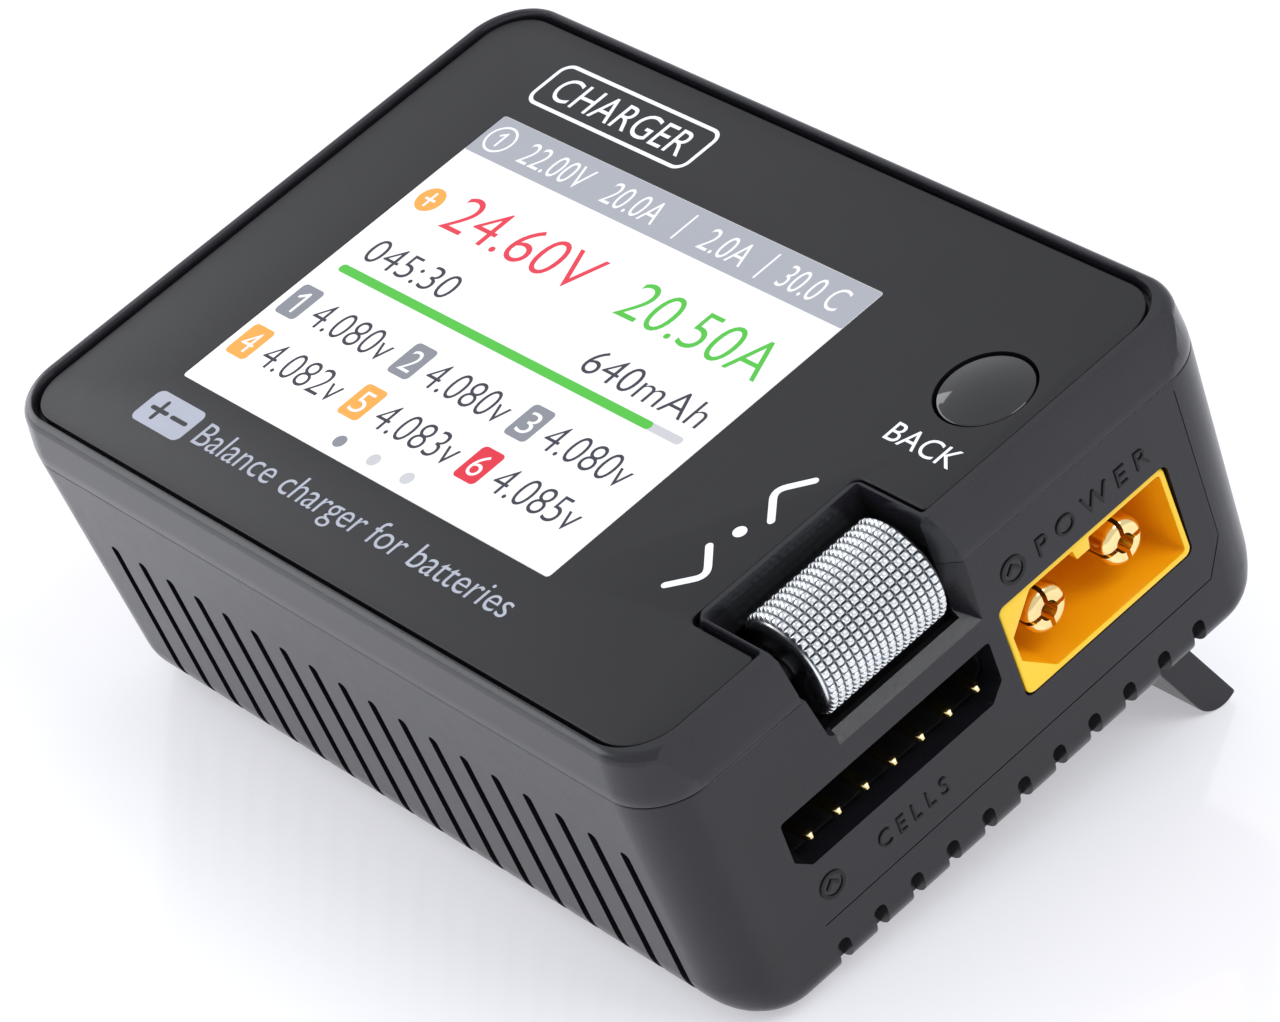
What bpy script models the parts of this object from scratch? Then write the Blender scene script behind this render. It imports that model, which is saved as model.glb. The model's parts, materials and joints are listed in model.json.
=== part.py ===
"""Compact balance charger for model batteries: a two-part case on a fold-out kickstand.

Everything is written in the charger's own axes, in millimetres: X runs along the
long side of the screen, Y up the screen, Z out of its face, and the origin is at
the middle of the screen. The whole charger then leans back on its kickstand, and
stands on the ground with its near feet and the kickstand's toe.
"""

import math

import bpy
from mathutils import Vector

# ---------------------------------------------------------------- dimensions, mm
X0, X1 = -31.0, 40.6  # case ends
Y0, Y1 = -24.8, 25.5  # near and far sides
Z_TOP, Z_BOT = 0.35, -25.3
Z_PART = -3.7  # parting line between the shells
Z_WAIST = -2.9  # the end bevel starts here
BEVEL_END, BEVEL_SIDE = 1.0, 0.35  # how far the rim leans in at its top
R_CORNER, R_BOTTOM, R_BOTTOM_END = 4.6, 4.0, 1.8
DRAFT_LEFT, DRAFT_RIGHT, DRAFT_SIDE = 0.06, 0.045, 0.03
WALL = 1.8
LIP = 1.0
GAP = 0.3
Z_DECK = -2.4  # underside of the top deck

PANEL = (-29.3, 38.6, -23.4, 24.0)  # printed front panel
PANEL_R, PANEL_T = 3.4, 0.5
NOTCH = (32.1, -13.2, 1.8)  # the panel's notch for the wheel
WINDOW = (20.4, 15.3)  # half width and height of the screen window
LCD = (22.9, 17.9)

BUTTON = (33.8, 11.9)
BUTTON_R, BUTTON_HOLE_R, BUTTON_TRAVEL = 3.35, 3.65, 0.4

WHEEL_C = (37.0, -3.95)  # X and Z of the wheel's axle
WHEEL_Y = (-10.9, 0.3)
WHEEL_R = 4.0
WHEEL_OPENING = (33.2, -12.4, 0.9, -7.8)
WHEEL_TRAVEL = 0.4

SOCKET_Y, SOCKET_Z = 10.86, -13.17  # output socket's middle
SOCKET_W, SOCKET_H, SOCKET_CUT = 15.3, 7.75, 2.35
SOCKET_X = (30.2, 40.1)
PIN_PITCH, PIN_R = 7.1, 1.75
PIN_TIP = 39.3
INPUT_Y = -6.0
INPUT_X = (-30.6, -20.9)

BALANCE = (-16.96, 1.74, -15.4, -10.7)  # opening of the balance port, Y and Z
BALANCE_PIN = (-14.81, 2.5, -14.07)  # first pin's Y, pitch, Z
BALANCE_PINS = 7

SIDE_SLOTS, SIDE_PITCH, SIDE_FIRST, SIDE_TOP, SIDE_W = 18, 3.33, -22.6, -9.6, 0.9
SLOT_REACH = 21.2  # the slots end this far from the middle on the underside
END_SLOTS, END_PITCH, END_FIRST, END_W = 11, 3.3, -15.8, 1.1

STAND_X = (-25.4, 35.5)
STAND_T, STAND_KNUCKLE, STAND_TOE_R = 2.6, 1.5, 2.2
HINGE = (15.38, -23.8)  # Y and Z of the kickstand's pins
STAND_L = 11.9  # from the pins to the tip
STAND_OUT = math.atan2(2.4, 6.0)  # how far outwards the leg points, from straight down

FOOT_Y, FOOT_PROUD = (-20.2, -17.2), 0.5
FEET_X = ((-21.5, -9.5), (19.5, 31.5))

BOSSES = ((-26.0, -20.0), (36.3, -20.2), (-26.0, 20.9), (36.3, 20.9))
BOSS_R, WELL_R, HOLE_R = 2.0, 1.5, 1.0

FAN_C, FAN_HALF, FAN_Z = (-4.0, -3.8), 15.0, (-20.2, -13.2)

M = 0.001

# ---------------------------------------------------------------- scene and materials
for old in list(bpy.data.objects):
    bpy.data.objects.remove(old, do_unlink=True)

frame = bpy.data.objects.new("charger_frame", None)
bpy.context.scene.collection.objects.link(frame)


def material(name, colour, roughness, metallic=0.0):
    made = bpy.data.materials.new(name)
    made.use_nodes = True
    shader = made.node_tree.nodes["Principled BSDF"]
    shader.inputs["Base Color"].default_value = (*colour, 1.0)
    shader.inputs["Roughness"].default_value = roughness
    shader.inputs["Metallic"].default_value = metallic
    return made


CASE = material("case_plastic", (0.06, 0.06, 0.07), 0.5)
PANEL_M = material("panel_film", (0.045, 0.045, 0.055), 0.45)
GLASS = material("window", (0.85, 0.87, 0.88), 0.08)
BLACK = material("black_plastic", (0.01, 0.01, 0.01), 0.4)
GLOSSY = material("gloss_black", (0.008, 0.008, 0.008), 0.1)
YELLOW = material("yellow_nylon", (0.9, 0.5, 0.02), 0.4)
GOLD = material("gold_plate", (0.9, 0.65, 0.25), 0.2, 1.0)
STEEL = material("steel", (0.6, 0.6, 0.62), 0.3, 1.0)
ALU = material("aluminium", (0.75, 0.75, 0.77), 0.25, 1.0)
BOARD = material("circuit_board", (0.02, 0.12, 0.05), 0.5)
RUBBER = material("rubber", (0.02, 0.02, 0.02), 0.8)
FERRITE = material("ferrite", (0.06, 0.06, 0.06), 0.7)
CAN = material("capacitor_can", (0.5, 0.5, 0.55), 0.3, 1.0)


# ---------------------------------------------------------------- shapes
def arc(cx, cy, r, a0, a1, n):
    return [
        (cx + r * math.cos(math.radians(a0 + (a1 - a0) * k / n)),
         cy + r * math.sin(math.radians(a0 + (a1 - a0) * k / n)))
        for k in range(n + 1)
    ]


def rounded(x0, x1, y0, y1, r, n=5):
    return (arc(x1 - r, y1 - r, r, 0, 90, n) + arc(x0 + r, y1 - r, r, 90, 180, n)
            + arc(x0 + r, y0 + r, r, 180, 270, n) + arc(x1 - r, y0 + r, r, 270, 360, n))


def circle(cx, cy, r, n=24):
    return [(cx + r * math.cos(2 * math.pi * k / n), cy + r * math.sin(2 * math.pi * k / n)) for k in range(n)]


def filleted(corners, n=4):
    """A polygon from (x, y, radius) corners, anticlockwise, each corner rounded by its radius."""
    out = []
    count = len(corners)
    for i, (x, y, r) in enumerate(corners):
        if r <= 0:
            out.append((x, y))
            continue
        before = Vector(corners[i - 1][:2]) - Vector((x, y))
        after = Vector(corners[(i + 1) % count][:2]) - Vector((x, y))
        half = before.angle(after) / 2
        along = r / math.tan(half)
        a = Vector((x, y)) + before.normalized() * along
        b = Vector((x, y)) + after.normalized() * along
        centre = Vector((x, y)) + (before.normalized() + after.normalized()).normalized() * (r / math.sin(half))
        a0 = math.atan2(a.y - centre.y, a.x - centre.x)
        turn = math.atan2(b.y - centre.y, b.x - centre.x) - a0
        turn = (turn + math.pi) % (2 * math.pi) - math.pi
        out += [(centre.x + r * math.cos(a0 + turn * k / n), centre.y + r * math.sin(a0 + turn * k / n))
                for k in range(n + 1)]
    return out


def put(axis, u, v, t):
    """(u, v) on the plane across the axis, t along it, in a right-handed order."""
    return {"x": (t, u, v), "y": (v, t, u), "z": (u, v, t)}[axis]


def loft(rings):
    """One closed body through rings of 3-D points, all the same length, anticlockwise seen from the last."""
    n = len(rings[0])
    verts = [p for ring in rings for p in ring]
    faces = [list(range(n))[::-1], [(len(rings) - 1) * n + k for k in range(n)]]
    for j in range(len(rings) - 1):
        for k in range(n):
            m = (k + 1) % n
            faces.append([j * n + k, j * n + m, (j + 1) * n + m, (j + 1) * n + k])
    return verts, faces


def prism(axis, outline, t0, t1):
    return loft([[put(axis, u, v, t) for u, v in outline] for t in (t0, t1)])


def turned(axis, c, profile, n=24):
    """A solid of revolution; profile is (radius, t) from low t to high t, over every t > radius 0 is a ring."""
    return loft([[put(axis, c[0] + r * math.cos(2 * math.pi * k / n), c[1] + r * math.sin(2 * math.pi * k / n), t)
                  for k in range(n)] for r, t in profile])


def box(x0, x1, y0, y1, z0, z1):
    return prism("z", [(x1, y1), (x0, y1), (x0, y0), (x1, y0)], z0, z1)


def joined(shapes):
    verts, faces = [], []
    for v, f in shapes:
        faces += [[i + len(verts) for i in face] for face in f]
        verts += v
    return verts, faces


def new_object(name, shape, origin=(0, 0, 0)):
    verts, faces = shape
    mesh = bpy.data.meshes.new(name)
    mesh.from_pydata([tuple((p[i] - origin[i]) * M for i in range(3)) for p in verts], [], faces)
    mesh.validate()
    obj = bpy.data.objects.new(name, mesh)
    obj.location = [v * M for v in origin]
    bpy.context.scene.collection.objects.link(obj)
    return obj


def carve(obj, operation, *shapes):
    """Boolean the closed, separate shapes into obj and keep the result as its mesh."""
    origin = [v / M for v in obj.location]
    for shape in shapes:
        tool = new_object("tool", shape, origin)
        step = obj.modifiers.new("cut", "BOOLEAN")
        step.operation = operation
        step.solver = "EXACT"
        step.object = tool
        bpy.context.view_layer.update()
        made = bpy.data.meshes.new_from_object(obj.evaluated_get(bpy.context.evaluated_depsgraph_get()))
        obj.modifiers.clear()
        obj.data = made
        bpy.data.objects.remove(tool, do_unlink=True)


def piece(name, shape, look, origin=(0, 0, 0), cut=(), add=(), smooth=None):
    obj = new_object(name, shape, origin)
    for more in add:
        carve(obj, "UNION", more)
    for less in cut:
        carve(obj, "DIFFERENCE", less)
    obj.data.materials.clear()
    obj.data.materials.append(look)
    if smooth:
        obj.data.shade_smooth()
        obj.data.set_sharp_from_angle(angle=math.radians(smooth))
    obj.parent = frame
    return obj


# ---------------------------------------------------------------- case outline
def section(z, inset=0.0, n=5, inset_end=None):
    """The case's outline at a height, drawn in by inset, or by inset_end at the two ends."""
    down = max(0.0, Z_PART - z)
    up = max(0.0, (z - Z_WAIST) / (Z_TOP - Z_WAIST))
    end = inset if inset_end is None else inset_end
    x0 = X0 + DRAFT_LEFT * down + BEVEL_SIDE * up + end
    x1 = X1 - DRAFT_RIGHT * down - end
    y0 = Y0 + DRAFT_SIDE * down + BEVEL_SIDE * up + inset
    y1 = Y1 - DRAFT_SIDE * down - BEVEL_SIDE * up - inset
    r = max(R_CORNER - 0.8 * inset, 0.8)
    return [(x, y, z) for x, y in rounded(x0, x1, y0, y1, r, n)]


def panel_outline(grow, r):
    x0, x1, y0, y1 = PANEL
    nx, ny0, ny1 = NOTCH
    g = grow
    return filleted([
        (x1 + g, y1 + g, r + g), (x0 - g, y1 + g, r + g), (x0 - g, y0 - g, r + g), (x1 + g, y0 - g, r + g),
        (x1 + g, ny0 + g, 0.3), (nx + g, ny0 + g, 0.8), (nx + g, ny1 - g, 0.8), (x1 + g, ny1 - g, 0.3),
    ])


# ---------------------------------------------------------------- the wheel's opening in the end
WHEEL_WINDOW = filleted([(WHEEL_OPENING[2], WHEEL_OPENING[3], 0.4), (WHEEL_OPENING[2], 0.0, 0), (WHEEL_OPENING[1], 0.0, 0),
                         (WHEEL_OPENING[1] + 0.3, Z_PART, 0), (WHEEL_OPENING[1] + 1.0, WHEEL_OPENING[3], 0.6)], 2)


def wheel_flare(top):
    """The slope from the end wall in towards the wheel, at the far side and below it."""
    y1, z0 = WHEEL_OPENING[2], WHEEL_OPENING[3]
    return loft([
        [(39.0, y1, z0), (39.0, y1, top), (39.0, -10.6, top), (39.0, -10.6, z0)],
        [(41.4, y1 + 1.7, z0 - 1.7), (41.4, y1 + 1.7, top), (41.4, -11.2, top), (41.4, -11.2, z0 - 1.7)],
    ])


# ---------------------------------------------------------------- upper shell
deck_cavity = loft([section(-7.0, 3.1 - 0.12), section(Z_DECK, 3.1)])
upper = loft([
    section(-5.2, 2.2), section(-3.7, 2.1), section(-3.7), section(Z_WAIST), section(-0.4),
    section(0.05, 0.12), section(0.27, 0.32), section(Z_TOP, 0.62),
])
wx, wy0, wy1, wz = WHEEL_OPENING
upper_bosses = [turned("z", b, [(BOSS_R, -5.6), (BOSS_R, -1.6)], 16) for b in BOSSES]
piece("upper_shell", upper, CASE, cut=[
    deck_cavity,
    prism("z", panel_outline(0.15, PANEL_R), -0.8, 3.0),
    joined([
        prism("z", rounded(-LCD[0] - 0.5, LCD[0] + 0.5, -LCD[1] - 0.5, LCD[1] + 0.5, 0.6, 2), -5.0, 2.0),
        turned("z", BUTTON, [(BUTTON_HOLE_R, -5.0), (BUTTON_HOLE_R, 2.0)], 32),
        box(wx, 60.0, wy0, wy1, -9.0, 2.0),
    ]),
    box(32.7, 38.75, -16.8, 16.4, -9.0, Z_DECK),
    wheel_flare(5.0),
    # the flat bevel across the output end, from the rim down to the waist
    prism("y", [(Z_WAIST, X1), (Z_WAIST, 50.0), (4.0, 50.0), (4.0, X1 - BEVEL_END * (4.0 - Z_WAIST) / (Z_TOP - Z_WAIST))][::-1], -60.0, 60.0),
], smooth=35)
shell = bpy.data.objects["upper_shell"]
carve(shell, "UNION", joined(upper_bosses))
carve(shell, "DIFFERENCE", joined([turned("z", b, [(HOLE_R, -9.0), (HOLE_R, -3.9)], 12) for b in BOSSES]))
shell.data.shade_smooth()
shell.data.set_sharp_from_angle(angle=math.radians(35))


# ---------------------------------------------------------------- lower shell
def bottom_rings(top, inset, floor, radius, n=4, radius_end=None):
    """Rings from the floor up, with the bottom edge rounded by radius on the sides and by radius_end on the ends."""
    small = radius if radius_end is None else radius_end
    rings = [[(x, y, top) for x, y, _ in section(min(top, Z_PART), inset)], section(floor + radius, inset)]
    if top > Z_PART:
        rings.insert(1, section(Z_PART, inset))
    for k in range(1, n + 1):
        a = math.radians(90 * k / n)
        z = floor + radius - radius * math.sin(a)
        drop = min(small, max(0.0, floor + small - z))
        rings.append(section(z, inset + radius * (1 - math.cos(a)), inset_end=inset + small - math.sqrt(small ** 2 - drop ** 2)))
    return rings[::-1]


def socket_outline(yc, zc, grow=0.0):
    """The power socket's outline on Y and Z."""
    w, h = SOCKET_W / 2 + grow, SOCKET_H / 2 + grow
    return rounded(yc - w, yc + w, zc - h, zc + h, 0.6, 2)


def balance_outline(grow=0.0):
    y0, y1, z0, z1 = BALANCE
    g = grow
    return filleted([(y1 + g, z1 + g, 0.3), (y0 - g, z1 + g, 0.3), (y0 - g, z0 + 1.2 - g, 0.2),
                     (y0 + 1.2 - g * 0.5, z0 - g, 0.2), (y1 - 1.2 + g * 0.5, z0 - g, 0.2), (y1 + g, z0 + 1.2 - g, 0.2)], 2)


def oval(yc, zc, w, h, n=6):
    return rounded(yc - w / 2, yc + w / 2, zc - h / 2, zc + h / 2, h / 2 - 0.01, n)


hinge_y, hinge_z = HINGE
leg = (math.sin(STAND_OUT), -math.cos(STAND_OUT))  # along the leg, hinge to tip
out = (math.cos(STAND_OUT), math.sin(STAND_OUT))  # out of its outer face
half = STAND_T / 2


def beside(along, across):
    return (hinge_y + leg[0] * along + out[0] * across, hinge_z + leg[1] * along + out[1] * across)


clear = STAND_KNUCKLE + GAP
stop_edge = beside(0.0, clear)
pocket_low = hinge_y - STAND_L - 0.4
pocket = [(pocket_low, -40.0)]
far_edge = (stop_edge[0] + leg[0] * 14.0, stop_edge[1] + leg[1] * 14.0)
pocket = [(far_edge[0], far_edge[1])] + arc(
    hinge_y, hinge_z, clear, math.degrees(STAND_OUT), 90, 5) + [(pocket_low, hinge_z + clear), (pocket_low, -40.0), (far_edge[0], -40.0)]
pocket_roof = hinge_z + clear
pin_holes = joined([
    turned("x", HINGE, [(0.85, -27.5), (0.85, -24.0)], 12),
    turned("x", HINGE, [(0.85, 34.0), (0.85, 37.5)], 12),
])
side_slots = []
for k in range(SIDE_SLOTS):
    x = SIDE_FIRST + k * SIDE_PITCH
    for sign in (-1, 1):
        low, high = sorted((sign * SLOT_REACH, sign * 40.0))
        side_slots.append(prism("y", filleted([(SIDE_TOP, x + SIDE_W / 2, 0.3), (-40.0, x + SIDE_W / 2, 0),
                                               (-40.0, x - SIDE_W / 2, 0), (SIDE_TOP, x - SIDE_W / 2, 0.3)], 1), low, high))
end_slots, end_holes = [], []  # the slots break out through the bottom edge and run on into the case
for k in range(END_SLOTS):
    y = END_FIRST + k * END_PITCH
    notch = filleted([(y + END_W / 2, -22.5, 0.45), (y - END_W / 2, -22.5, 0.45), (y - END_W / 2, -40.0, 0), (y + END_W / 2, -40.0, 0)], 2)
    end_slots += [prism("x", notch, 38.1, 60.0), prism("x", notch, -60.0, -28.6)]
    hole = rounded(y - 0.5, y + 0.5, -24.3, -22.6, 0.4, 2)
    end_holes += [prism("x", hole, 36.7, 39.0), prism("x", hole, -29.2, -27.4)]
grille = []
for k in range(10):
    y = -15.2 + k * 1.75
    wide = math.sqrt(max(0.0, 10.2 ** 2 - (y + 6.4) ** 2))
    grille.append(prism("z", rounded(FAN_C[0] - wide, FAN_C[0] + wide, y - 0.5, y + 0.5, 0.45, 2), -30.0, -21.0))
lower = loft(bottom_rings(-4.0, 0.0, Z_BOT, R_BOTTOM, 6, R_BOTTOM_END))
cavity = loft(bottom_rings(-2.0, WALL, Z_BOT + WALL, 2.4, 3))
lower_shell = piece("lower_shell", lower, CASE, cut=[cavity], smooth=35)
carve(lower_shell, "UNION", box(STAND_X[0] - 2.0, STAND_X[1] + 2.0, pocket_low - 1.4, 19.2, -24.4, pocket_roof + 1.3))
carve(lower_shell, "UNION", joined([turned("z", b, [(BOSS_R, -24.4), (BOSS_R, -5.9)], 16) for b in BOSSES]))
carve(
    lower_shell, "DIFFERENCE",
    prism("x", pocket, STAND_X[0] - GAP, STAND_X[1] + GAP),
    joined([turned("z", b, [(WELL_R, -40.0), (WELL_R, -14.0)], 14) for b in BOSSES]),
    joined([turned("z", b, [(HOLE_R, -20.0), (HOLE_R, 0.0)], 12) for b in BOSSES]),
    pin_holes,
    joined(side_slots),
    joined(end_slots),
    joined(end_holes),
    joined(grille),
    joined([prism("z", rounded(a - 0.3, b + 0.3, FOOT_Y[0] - 0.3, FOOT_Y[1] + 0.3, 1.4, 3), -40.0, Z_BOT + 0.9) for a, b in FEET_X]),
    joined([
        prism("x", socket_outline(SOCKET_Y, SOCKET_Z, 0.3), 35.0, 60.0),
        prism("x", balance_outline(), 38.2, 60.0),
        prism("x", WHEEL_WINDOW, 35.0, 60.0),
        prism("x", socket_outline(INPUT_Y, SOCKET_Z, 0.3), -60.0, -25.0),
        prism("x", oval(10.5, -10.7, 9.5, 3.8), -60.0, -25.0),
    ]),
    box(35.0, 39.5, wy0 + 0.05, wy1 - 0.05, wz - 0.8, wz + 1.0),  # room for the pressed wheel
    wheel_flare(5.0),
    # a finger scoop on the pocket's edge, to lift the kickstand
    turned("x", (pocket_low + 0.3, Z_BOT - 1.0), [(2.4, 0.0), (2.4, 10.0)], 20),
)
lower_shell.data.shade_smooth()
lower_shell.data.set_sharp_from_angle(angle=math.radians(35))

# ---------------------------------------------------------------- front panel and screen
piece("front_panel", prism("z", panel_outline(0.0, PANEL_R), -PANEL_T, 0.0), PANEL_M, cut=[
    joined([
        prism("z", rounded(-WINDOW[0], WINDOW[0], -WINDOW[1], WINDOW[1], 0.3, 1), -2.0, 2.0),
        turned("z", BUTTON, [(BUTTON_HOLE_R, -2.0), (BUTTON_HOLE_R, 2.0)], 32),
    ]),
])
piece("display_window", prism("z", rounded(-WINDOW[0] + 0.12, WINDOW[0] - 0.12, -WINDOW[1] + 0.12, WINDOW[1] - 0.12, 0.25, 1), -0.5, -0.02), GLASS)
piece("display_module", prism("z", rounded(-LCD[0], LCD[0], -LCD[1], LCD[1], 0.5, 2), -3.2, -0.9), STEEL)
piece("display_bracket", prism("z", rounded(-24.2, 24.2, -18.6, 18.6, 1.0, 2), -5.4, -3.5), BLACK, cut=[
    prism("z", rounded(-19.0, 19.0, -14.0, 14.0, 1.0, 2), -7.0, -1.0)])
piece("display_board", prism("z", filleted([
    (38.0, 15.6, 0.5), (31.0, 22.0, 0.5), (-19.5, 22.0, 0.5), (-27.6, 14.5, 0.5), (-27.6, -13.5, 0.5),
    (-19.5, -21.0, 0.5), (28.5, -21.0, 0.5), (32.5, -17.0, 0.5), (32.5, 2.3, 0.5), (38.0, 2.3, 0.5)], 1), -6.9, -5.7), BOARD)

# ---------------------------------------------------------------- exit button
bx, by = BUTTON
piece("exit_button", turned("z", BUTTON, [
    (4.3, -3.4), (4.3, -2.7), (BUTTON_R, -2.7), (BUTTON_R, -0.1), (3.2, 0.1), (2.7, 0.24), (1.6, 0.33), (0.6, 0.35)], 32),
    GLOSSY, origin=(bx, by, 0.0), smooth=40)
piece("exit_switch_plunger", turned("z", BUTTON, [(1.1, -4.8), (1.1, -3.7)], 16), BLACK, origin=(bx, by, 0.0), smooth=40)
piece("exit_switch_body", box(bx - 2.6, bx + 2.6, by - 2.6, by + 2.6, -5.4, -4.2), STEEL, cut=[
    turned("z", BUTTON, [(1.4, -7.0), (1.4, -2.0)], 16)])

# ---------------------------------------------------------------- scroll wheel
wc, wzc = WHEEL_C
axle = (wc, 0.0, wzc)
wheel_axis = (wzc, wc)
piece("scroll_wheel", turned("y", wheel_axis, [
    (WHEEL_R - 0.7, WHEEL_Y[0]), (WHEEL_R, WHEEL_Y[0] + 0.6), (WHEEL_R, WHEEL_Y[1] - 0.6), (WHEEL_R - 0.7, WHEEL_Y[1])], 40),
    ALU, origin=(wc, -5.3, wzc), cut=[turned("y", wheel_axis, [(1.1, -20.0), (1.1, 10.0)], 16)], smooth=40)
piece("wheel_shaft", turned("y", wheel_axis, [(0.8, -14.6), (0.8, 1.7)], 16), STEEL, origin=(wc, -5.3, wzc), smooth=40)
piece("wheel_cradle", box(34.0, 38.1, -12.6, 1.95, -9.0, -8.3), BLACK, origin=(wc, -5.3, wzc), add=[
    box(34.9, 38.1, -12.6, -11.4, -8.5, -2.8), box(34.9, 38.1, 0.75, 1.95, -8.5, -2.8),
    box(34.6, 37.6, 1.0, 5.4, -3.5, -2.75)],
    cut=[joined([box(wc - 1.1, wc + 1.1, -13.0, -11.0, -5.05, -2.0), box(wc - 1.1, wc + 1.1, 0.4, 2.3, -5.05, -2.0)])])
piece("wheel_encoder", box(34.9, 38.1, -16.2, -12.9, -8.4, -2.8), BLACK, origin=(wc, -5.3, wzc), cut=[
    turned("y", wheel_axis, [(1.1, -14.9), (1.1, -10.0)], 16)])
piece("wheel_switch_plunger", turned("z", (36.0, 4.2), [(0.8, -4.8), (0.8, -3.8)], 12), BLACK, origin=(36.0, 4.2, -4.0), smooth=40)
piece("wheel_switch_body", box(34.3, 37.7, 2.6, 5.8, -5.4, -4.2), STEEL, cut=[
    turned("z", (36.0, 4.2), [(1.1, -7.0), (1.1, -2.0)], 12)])

# ---------------------------------------------------------------- connectors
def pin_shape(x_back, x_tip, yc, zc):
    d = 1 if x_tip > x_back else -1
    prof = [(PIN_R, x_back), (PIN_R, x_tip - d * 0.45), (PIN_R - 0.35, x_tip)]
    return turned("x", (yc, zc), prof if d > 0 else prof[::-1], 24)


def pin_cuts(x_tip, d, yc, zc):
    a, b = sorted((x_tip - d * 4.5, x_tip + d * 2.0))
    bore = turned("x", (yc, zc), [(0.75, a), (0.75, b)], 12)
    a2 = x_tip - d * 4.0
    a, b = sorted((a2, x_tip + d * 2.0))
    return [bore, box(a, b, yc - 3.0, yc + 3.0, zc - 0.22, zc + 0.22), box(a, b, yc - 0.22, yc + 0.22, zc - 3.0, zc + 3.0)]


def socket_cavity(yc, zc, flip=1):
    """The inside of the power socket: cut off at both corners of one end, with a small key hanging from its top."""
    w, h, c = SOCKET_W / 2 - 0.47, SOCKET_H / 2 - 0.49, SOCKET_CUT
    pts = [(w, h, 0.3), (0.6, h, 0.0), (0.45, h - 0.85, 0.0), (-0.75, h - 0.85, 0.0), (-0.9, h, 0.0),
           (-w + c, h, 0.2), (-w, h - c, 0.2), (-w, -h + c, 0.2), (-w + c, -h, 0.2), (w, -h, 0.3)]
    if flip < 0:
        pts = [(-y, z, r) for y, z, r in pts][::-1]
    return [(yc + y, zc + z) for y, z in filleted(pts, 2)]


piece("output_socket", prism("x", socket_outline(SOCKET_Y, SOCKET_Z), *SOCKET_X), YELLOW, cut=[
    prism("x", socket_cavity(SOCKET_Y, SOCKET_Z), SOCKET_X[0] + 1.6, 60.0)])
for side, name in ((-1, "output_pin_negative"), (1, "output_pin_positive")):
    y = SOCKET_Y + side * PIN_PITCH / 2
    piece(name, pin_shape(SOCKET_X[0] + 1.9, PIN_TIP, y, SOCKET_Z), GOLD, cut=pin_cuts(PIN_TIP, 1, y, SOCKET_Z), smooth=35)
piece("input_socket", prism("x", socket_outline(INPUT_Y, SOCKET_Z), *INPUT_X), YELLOW, cut=[
    prism("x", socket_cavity(INPUT_Y, SOCKET_Z, -1), -60.0, INPUT_X[1] - 1.6)])
for side, name in ((-1, "input_pin_negative"), (1, "input_pin_positive")):
    y = INPUT_Y + side * PIN_PITCH / 2
    piece(name, pin_shape(INPUT_X[1] - 1.9, -29.8, y, SOCKET_Z), GOLD, cut=pin_cuts(-29.8, -1, y, SOCKET_Z), smooth=35)

by0, by1, bz0, bz1 = BALANCE
piece("balance_header", box(30.2, 37.9, by0 - 0.6, by1 + 0.6, bz0 - 0.8, bz1 + 0.8), BLACK, cut=[
    prism("x", balance_outline(0.02), 31.4, 60.0)])
for k in range(BALANCE_PINS):
    y = BALANCE_PIN[0] + k * BALANCE_PIN[1]
    z = BALANCE_PIN[2]
    h = 0.32
    piece(f"balance_pin_{k + 1}", loft([
        [(31.7, y + h, z + h), (31.7, y - h, z + h), (31.7, y - h, z - h), (31.7, y + h, z - h)],
        [(39.1, y + h, z + h), (39.1, y - h, z + h), (39.1, y - h, z - h), (39.1, y + h, z - h)],
        [(39.5, y + 0.16, z + 0.16), (39.5, y - 0.16, z + 0.16), (39.5, y - 0.16, z - 0.16), (39.5, y + 0.16, z - 0.16)],
    ]), GOLD)
piece("usb_port_shell", prism("x", oval(10.5, -10.7, 8.9, 3.2), -30.5, -23.2), STEEL, cut=[
    prism("x", oval(10.5, -10.7, 8.3, 2.6), -60.0, -24.2)], smooth=35)
piece("usb_port_tongue", box(-29.6, -24.5, 7.2, 13.8, -11.05, -10.35), BLACK)

# ---------------------------------------------------------------- boards and power parts
piece("main_board", prism("z", filleted([
    (36.8, 15.0, 0.5), (31.0, 22.4, 0.5), (-20.5, 22.4, 0.5), (-28.2, 15.0, 0.5), (-28.2, -14.0, 0.5), (-20.5, -21.6, 0.5),
    (31.0, -21.6, 0.5), (33.0, -17.6, 0.5), (33.0, 2.6, 0.5), (36.8, 2.6, 0.5)], 1), -8.8, -7.4), BOARD)
fx, fy = FAN_C
piece("fan_housing", box(fx - FAN_HALF, fx + FAN_HALF, fy - FAN_HALF, fy + FAN_HALF, *FAN_Z), BLACK, cut=[
    turned("z", FAN_C, [(13.8, -30.0), (13.8, 0.0)], 40)], add=[])
housing = bpy.data.objects["fan_housing"]
struts = [turned("z", FAN_C, [(5.6, FAN_Z[0]), (5.6, FAN_Z[0] + 1.0)], 24)]
for k in range(3):
    a = math.radians(90 + 120 * k)
    u, v = Vector((math.cos(a), math.sin(a))), Vector((-math.sin(a), math.cos(a))) * 0.7
    p, q = Vector(FAN_C) + u * 4.5, Vector(FAN_C) + u * 14.6
    struts.append(prism("z", [tuple(p - v), tuple(q - v), tuple(q + v), tuple(p + v)], FAN_Z[0], FAN_Z[0] + 0.9))
carve(housing, "UNION", *struts)
hub = new_object("fan_rotor", turned("z", FAN_C, [(6.0, -18.8), (6.0, -14.2), (5.4, -13.8)], 28), (fx, fy, -16.0))
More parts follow.
